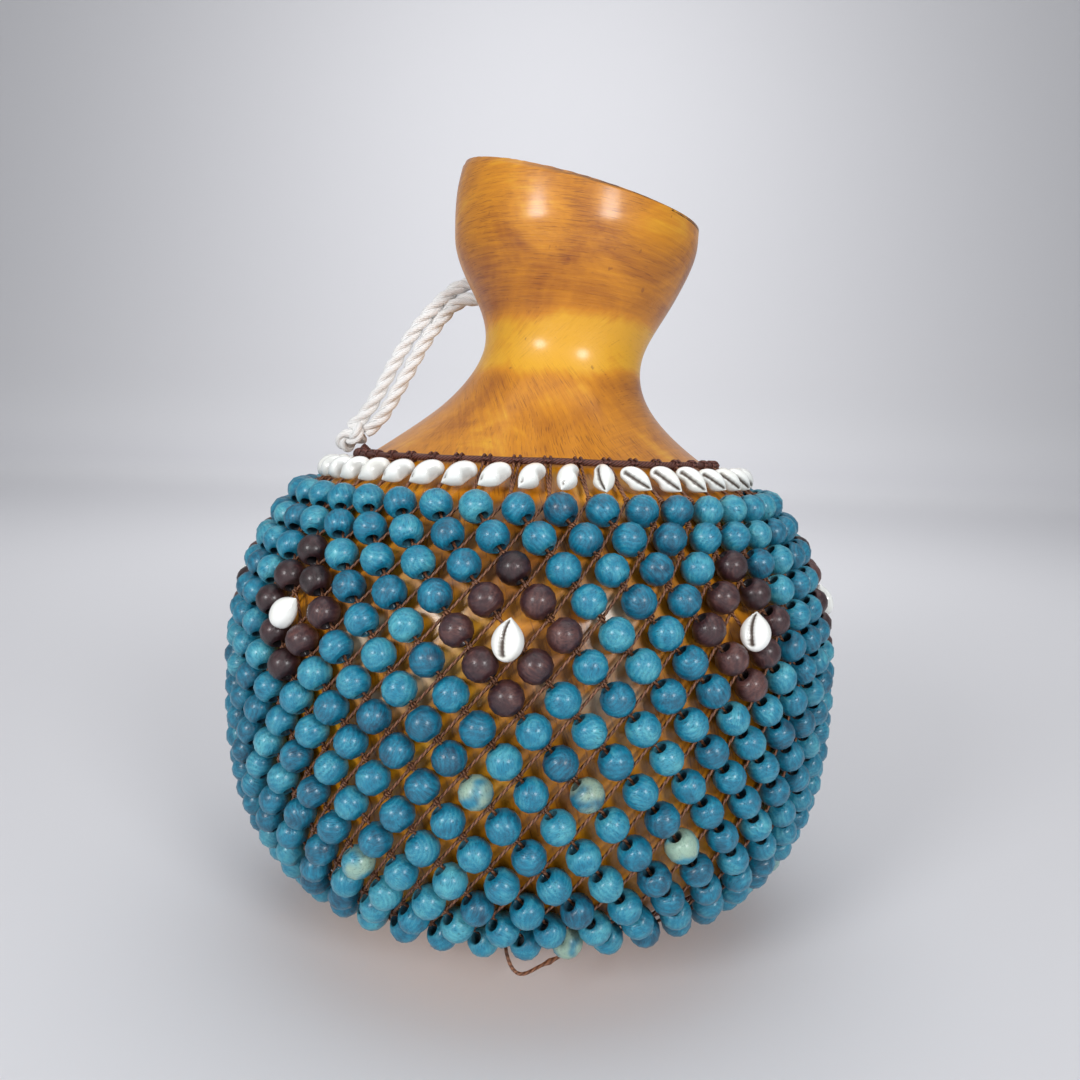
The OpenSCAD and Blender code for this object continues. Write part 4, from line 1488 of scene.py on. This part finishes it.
    def collar_shells(self) -> None:
        """The ring under the collar, in the CAD's three sets. Most lie on their mouths and show the
        cut back; a few towards the right show the mouth."""
        random = np.random.default_rng(self.seed)
        form = self.net.form
        angle = form.shoulder_angle - self.drop / self.net.mm_per_degree
        base, dark = self.shell(self.collar_l, self.collar_w, self.length_steps, 28)
        places, leans = np.transpose(self.collar_lean)
        for index in range(3):
            column = np.arange(index, self.net.columns, 3)
            turn = self.net.turn + (column + 0.25) * self.net.pitch
            sideways = (turn + 180) % 360 - 180
            shows_mouth = (sideways > self.mouths[0]) & (sideways < self.mouths[1])
            face = np.where(shows_mouth, self.mouth_face, math.pi)
            face = face + random.normal(0, 0.14, len(column))
            lean = np.interp(sideways, places, leans) + random.normal(0, 5.0, len(column))
            size = random.uniform(*self.sizes, (len(column), 1, 1, 1)) * self.flatter
            bite = random.uniform(*self.bites, (len(column), 1, 1))
            grid, shade = self.cut_back(base[None], dark[None], bite)
            grid = self.spun(grid * size * [1, 1, -1], face, 2)
            grid = self.spun(grid, -np.radians(lean), 1)
            grid = self.place(grid, angle, self.collar_w / 2 + 0.9, turn)
            skin = Skin(f"collar_shells_{index + 1}", ("deep",))
            skin.add(grid, caps=True, flip=True, deep=shade)
            skin.build(self.finish, "net", "cowrie", [f"collar_cowries_{index + 1}"])

    @staticmethod
    def spun(grid: Array, angle: Array, axis: int) -> Array:
        """Turns each copy by its own angle in radians about Z (axis 2) or Y (axis 1)."""
        c, s = (f(angle)[:, None, None] for f in (np.cos, np.sin))
        x, y, z = (grid[..., k] for k in range(3))
        if axis == 2:
            return np.stack([x * c - y * s, x * s + y * c, z], -1)
        return np.stack([x * c + z * s, y, z * c - x * s], -1)

    def motif_shells(self) -> None:
        """The shell in each dark diamond, mouth outwards and pointed end up."""
        net = self.net
        rest = net.knot_lift + net.cord_d / 2 + 0.1
        angle = net.row_angle[net.motif_row - 1] - 1
        base, dark = self.shell(self.motif_l, self.motif_w, 40, 48)
        for index in range(net.motifs):
            lean, face = self.motif_poses.get(index, (6 - 9 * (index % 3), -12 + 14 * (index % 3)))
            grid = self.spun(base[None], np.radians([face]), 2)
            lift = rest - float(grid[..., 1].min())
            grid = self.spun(grid, np.radians([-lean]), 1)
            turn = np.array([net.turn + index * 360 / net.motifs])
            skin = Skin(f"diamond_shell_{index + 1}", ("deep",))
            skin.add(self.place(grid, angle, lift, turn), caps=True, deep=dark[None])
            name = f"motif_cowrie_{index + 1}"
            skin.build(self.finish, name, "cowrie", [name])

    def build(self) -> None:
        """Makes all shells."""
        self.collar_shells()
        self.motif_shells()


# ---- Rope ----
@dataclass
class Rope:
    """White cotton rope of three strands: two runs from a knot inside the cup to one at the collar.

    Attributes:
        lay: length along the rope in which a strand goes once round.
        plies: how many strands the rope has, and strand_sides the points round one.
        strand: half a strand's width, as a share of the rope's, and girth the way round a strand.
        offset: how far a strand's middle lies off the rope's, as a share of the rope's width.
        outer_run: points chosen along the outer run, and inner_run along the inner.
        knot_scale: size of a knot's curve, of knot_rings points; its rope is pulled to a width of
            knot_rope.
        lash_wraps: turns of the lashing round the knot's foot, at lash_radius.
        lash_span: how far from the collar's middle the lashing starts, and its length.
    """

    finish: bpy.types.Material
    binding: bpy.types.Material
    diameter: float = 7.0
    lay: float = 25.0
    plies: int = 3
    strand_sides: int = 10
    strand: float = 0.255
    offset: float = 0.25
    girth: float = 11.0
    outer_run: tuple[tuple[float, float, float], ...] = (
        (-25.6, 15, 284), (-38, 15, 283), (-46.3, 15, 278), (-55.9, 14, 268), (-64.8, 14, 256.3),
        (-72.8, 13, 242.3), (-79.9, 13, 228.4), (-87, 13, 217.4), (-93.5, 13, 211),
    )  # fmt: skip
    inner_run: tuple[tuple[float, float, float], ...] = (
        (-25.6, 15, 276.3), (-36.4, 15, 276), (-44, 15, 272.4), (-51.2, 15, 264), (-58.4, 14, 252.9),
        (-65.4, 14, 239.8), (-72.3, 13, 226.8), (-78.3, 13, 216.8), (-85.9, 13, 208.9),
    )  # fmt: skip
    knot_place: tuple[float, float, float] = (-92.5, 13.0, 206.5)
    stopper_place: tuple[float, float, float] = (-16.4, 15.0, 280.0)
    knot_scale: float = 2.1
    knot_rings: int = 96
    knot_rope: float = 5.6
    lash_wraps: int = 4
    lash_radius: float = 1.7
    lash_cord: float = 0.6
    lash_span: tuple[float, float] = (1.4, 4.2)

    def strands(
        self, skin: Skin, path: Array, diameter: float, phase: float, closed: bool = False
    ) -> None:
        """Winds three strands round a path; each is a helix of constant lay, with a soft tube on it."""
        step = np.diff(path, axis=0, append=path[:1] if closed else path[-1:])
        run = np.concatenate([[0], np.cumsum(np.linalg.norm(step, axis=1))[:-1]])
        total = float(np.linalg.norm(step, axis=1).sum())
        turns = round(total / self.lay) if closed else total / self.lay
        up = unit(path - path.mean(0)) if closed else np.array([0.1, 1, 0.05])
        side, lift = square_to(path, up, closed)
        ring = spokes(self.strand_sides, side, lift)
        for k in range(self.plies):
            angle = (TAU * (turns * run / total + k / self.plies) + phase)[:, None]
            centre = path + self.offset * diameter * (np.cos(angle) * side + np.sin(angle) * lift)
            radius = self.strand * diameter * (1 + 0.03 * np.sin(run * 1.3 + k))
            grid = centre[:, None] + radius[:, None, None] * ring
            skin.add(grid, loop=closed, caps=not closed, size=(total, self.girth))

    def runs(self) -> None:
        """The two runs."""
        for name, points, phase in (("outer", self.outer_run, 0.4), ("inner", self.inner_run, 1.9)):
            path = smooth_path(np.array(points, float), 120)
            skin = Skin(f"rope_{name}")
            self.strands(skin, path, self.diameter, phase)
            obj = skin.build(self.finish, "gourd", "rope", [f"rope_run_{name}"])
            tuple(path[0] * MM)
            self.diameter * MM
            [tuple(p) for p in path[::4] * MM]

    def knot(self, name: str, place: Sequence[float], normal: Array, replaces: Sequence[str]) -> None:
        """A tight overhand knot: a trefoil curve, flattened along its normal."""
        t = TAU * np.arange(self.knot_rings) / self.knot_rings
        across, over = np.sin(t) + 2 * np.sin(2 * t), np.cos(t) - 2 * np.cos(2 * t)
        trefoil = np.stack([across, over, -1.1 * np.sin(3 * t)], -1)
        normal = unit(normal)
        side = unit(np.cross(normal, np.array([0, 1.0, 0.2])))
        basis = np.stack([side, np.cross(normal, side), normal])
        path = np.array(place, float) + self.knot_scale * trefoil @ basis
        skin = Skin(name)
        self.strands(skin, path, self.knot_rope, 0.0, closed=True)
        skin.build(self.finish, "gourd", "rope", replaces)

    def lashing(self, collar: Array) -> None:
        """Waxed cord wrapped between the knot and the collar."""
        knot = np.array(self.knot_place)
        turn = math.degrees(math.atan2(knot[0], -knot[1]))
        foot = around(collar, np.array(turn))
        axis = unit(knot - foot)
        side = unit(np.cross(axis, np.array([0, 1.0, 0])))
        lift = np.cross(axis, side)
        t = np.linspace(0, 1, 61)[:, None]
        angle = TAU * self.lash_wraps * t
        helix = np.cos(angle) * side + np.sin(angle) * lift
        path = foot + (self.lash_span[0] + self.lash_span[1] * t) * axis + self.lash_radius * helix
        skin = Skin("rope_lashing_cord")
        skin.add(tube(path, self.lash_cord, 6, axis), caps=True, size=(44, 3.8))
        skin.build(self.binding, "gourd", "waxed_cord", ["rope_lashing"])

    def build(self, collar: Array) -> None:
        """Makes the rope, its knots and its lashing."""
        self.runs()
        self.knot("collar_knot", self.knot_place, np.array([-0.6, 0.1, 0.8]), ["rope_knot"])
        self.knot("cup_knot", self.stopper_place, np.array([1.0, 0, 0.1]), ["rope_stopper"])
        self.lashing(collar)


# ---- Studio ----
@dataclass
class Studio:
    """Camera, lamps, floor and sky.

    Attributes:
        frame_px: the photograph's width, and focal_px its focal length, in pixels.
        camera_at: where the camera stands; it looks camera_down degrees down, rolled by camera_roll.
        centre: what the lamps are turned to.
        floor_half: half the floor's width, in metres.
    """

    frame_px: float = 1080.0
    focal_px: float = 842.2
    sensor_mm: float = 36.0
    camera_at: tuple[float, float, float] = (0.0028, -0.4103, 0.2011)
    camera_down: float = 5.80
    camera_roll: float = 1.92
    centre: tuple[float, float, float] = (0.0, 0.0, 0.18)
    sky_colour: Colour = dye("EDEFF2")
    sky_strength: float = 0.37
    floor_half: float = 3.0
    floor_colour: Colour = dye("DEDEE2")

    def camera(self) -> None:
        """The photograph's viewpoint, a little under the cup's mouth and close in."""
        data = bpy.data.cameras.new("view")
        data.sensor_width = self.sensor_mm
        data.lens = self.focal_px / self.frame_px * self.sensor_mm
        data.clip_start = 0.01
        cam = bpy.data.objects.new("view", data)
        bpy.context.scene.collection.objects.link(cam)
        cam.rotation_mode = "QUATERNION"
        pitch, roll = math.radians(90 - self.camera_down) / 2, math.radians(self.camera_roll) / 2
        tip, spin = (math.cos(pitch), math.sin(pitch)), (math.cos(roll), math.sin(roll))
        cam.rotation_quaternion = (
            tip[0] * spin[0],
            tip[1] * spin[0],
            -tip[1] * spin[1],
            tip[0] * spin[1],
        )
        cam.location = self.camera_at
        bpy.context.scene.camera = cam

    def lamp(
        self, name: str, place: Sequence[float], aim: Sequence[float], size: float, power: float
    ) -> None:
        """A round soft lamp at a place, turned to a point."""
        data = bpy.data.lights.new(name, "AREA")
        data.shape, data.size, data.energy = "DISK", size, power
        lamp = bpy.data.objects.new(name, data)
        bpy.context.scene.collection.objects.link(lamp)
        lamp.location = place
        away = Vector(place) - Vector(aim)
        lamp.rotation_mode = "QUATERNION"
        lamp.rotation_quaternion = away.to_track_quat("Z", "Y")

    def lamps(self) -> None:
        """Two softboxes that face the cup from above the camera, one wide fill and one on the wall."""
        self.lamp("left_box", (-0.69, -1.00, 0.58), self.centre, 0.34, 7.4)
        self.lamp("right_box", (0.58, -1.10, 0.58), self.centre, 0.34, 7.4)
        self.lamp("wall_light", (0.0, 1.0, 1.9), (0.0, 3.0, 0.7), 1.4, 30.0)
        self.lamp("top_fill", (0.1, -0.1, 1.7), self.centre, 1.6, 7.0)

    def sky(self) -> None:
        """A plain pale sky."""
        world = bpy.data.worlds.new("sky")
        world.use_nodes = True
        ground = world.node_tree.nodes["Background"]
        ground.inputs["Color"].default_value = self.sky_colour
        ground.inputs["Strength"].default_value = self.sky_strength
        bpy.context.scene.world = world

    def floor(self) -> None:
        """A pale floor and a wall behind it, one sheet bent upwards."""
        half = self.floor_half / MM
        line = ((0, -1, 0), (0, 0.6, 0), (0, 0.85, 0.1), (0, 1, 0.4), (0, 1, 1.5))
        across = np.array([-half, half])[:, None] * np.array([1.0, 0, 0])
        skin = Skin("floor")
        skin.add(smooth_path(np.array(line) * half, 60)[:, None] + across, around=False)
        paper = Shader("floor_paper").finish(base_color=self.floor_colour, roughness=0.9)
        skin.build(paper)

    def build(self) -> None:
        """Sets the whole scene."""
        self.camera()
        self.lamps()
        self.sky()
        self.floor()


def main() -> None:
    """Builds the object and its surroundings."""
    logging.basicConfig(level=logging.INFO, format="%(message)s")
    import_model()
    bpy.context.scene.view_settings.view_transform = "Standard"
    Studio().build()
    form = GourdForm()
    net = Net(form)
    thread = PliedCord(
        name="net_thread",
        girth=TAU * 0.6,
        plies=2,
        lay=5.5,
        light=dye("9C6A4C"),
        dark=dye("54301F"),
        depth=0.00025,
        gloss=0.5,
    )
    plain = PliedCord(
        name="collar_binding",
        girth=TAU * 1.15,
        plies=5,
        lay=9.0,
        light=dye("7C4A40"),
        dark=dye("3A1E19"),
        depth=0.0003,
        gloss=0.55,
    )
    shells = CowrieShell().build()
    strand = CottonStrand().build()
    Gourd(form).build()
    bead_net = BeadNet(net, BeadStock(net), thread)
    binding = Binding(net, bead_net.thread, plain.build())
    rope = Rope(strand, binding.plain)
    rope.build(binding.collar)
    bead_net.build()
    binding.build(bead_net)
    Cowries(net, shells).build()


if __name__ == "__main__":
    main()
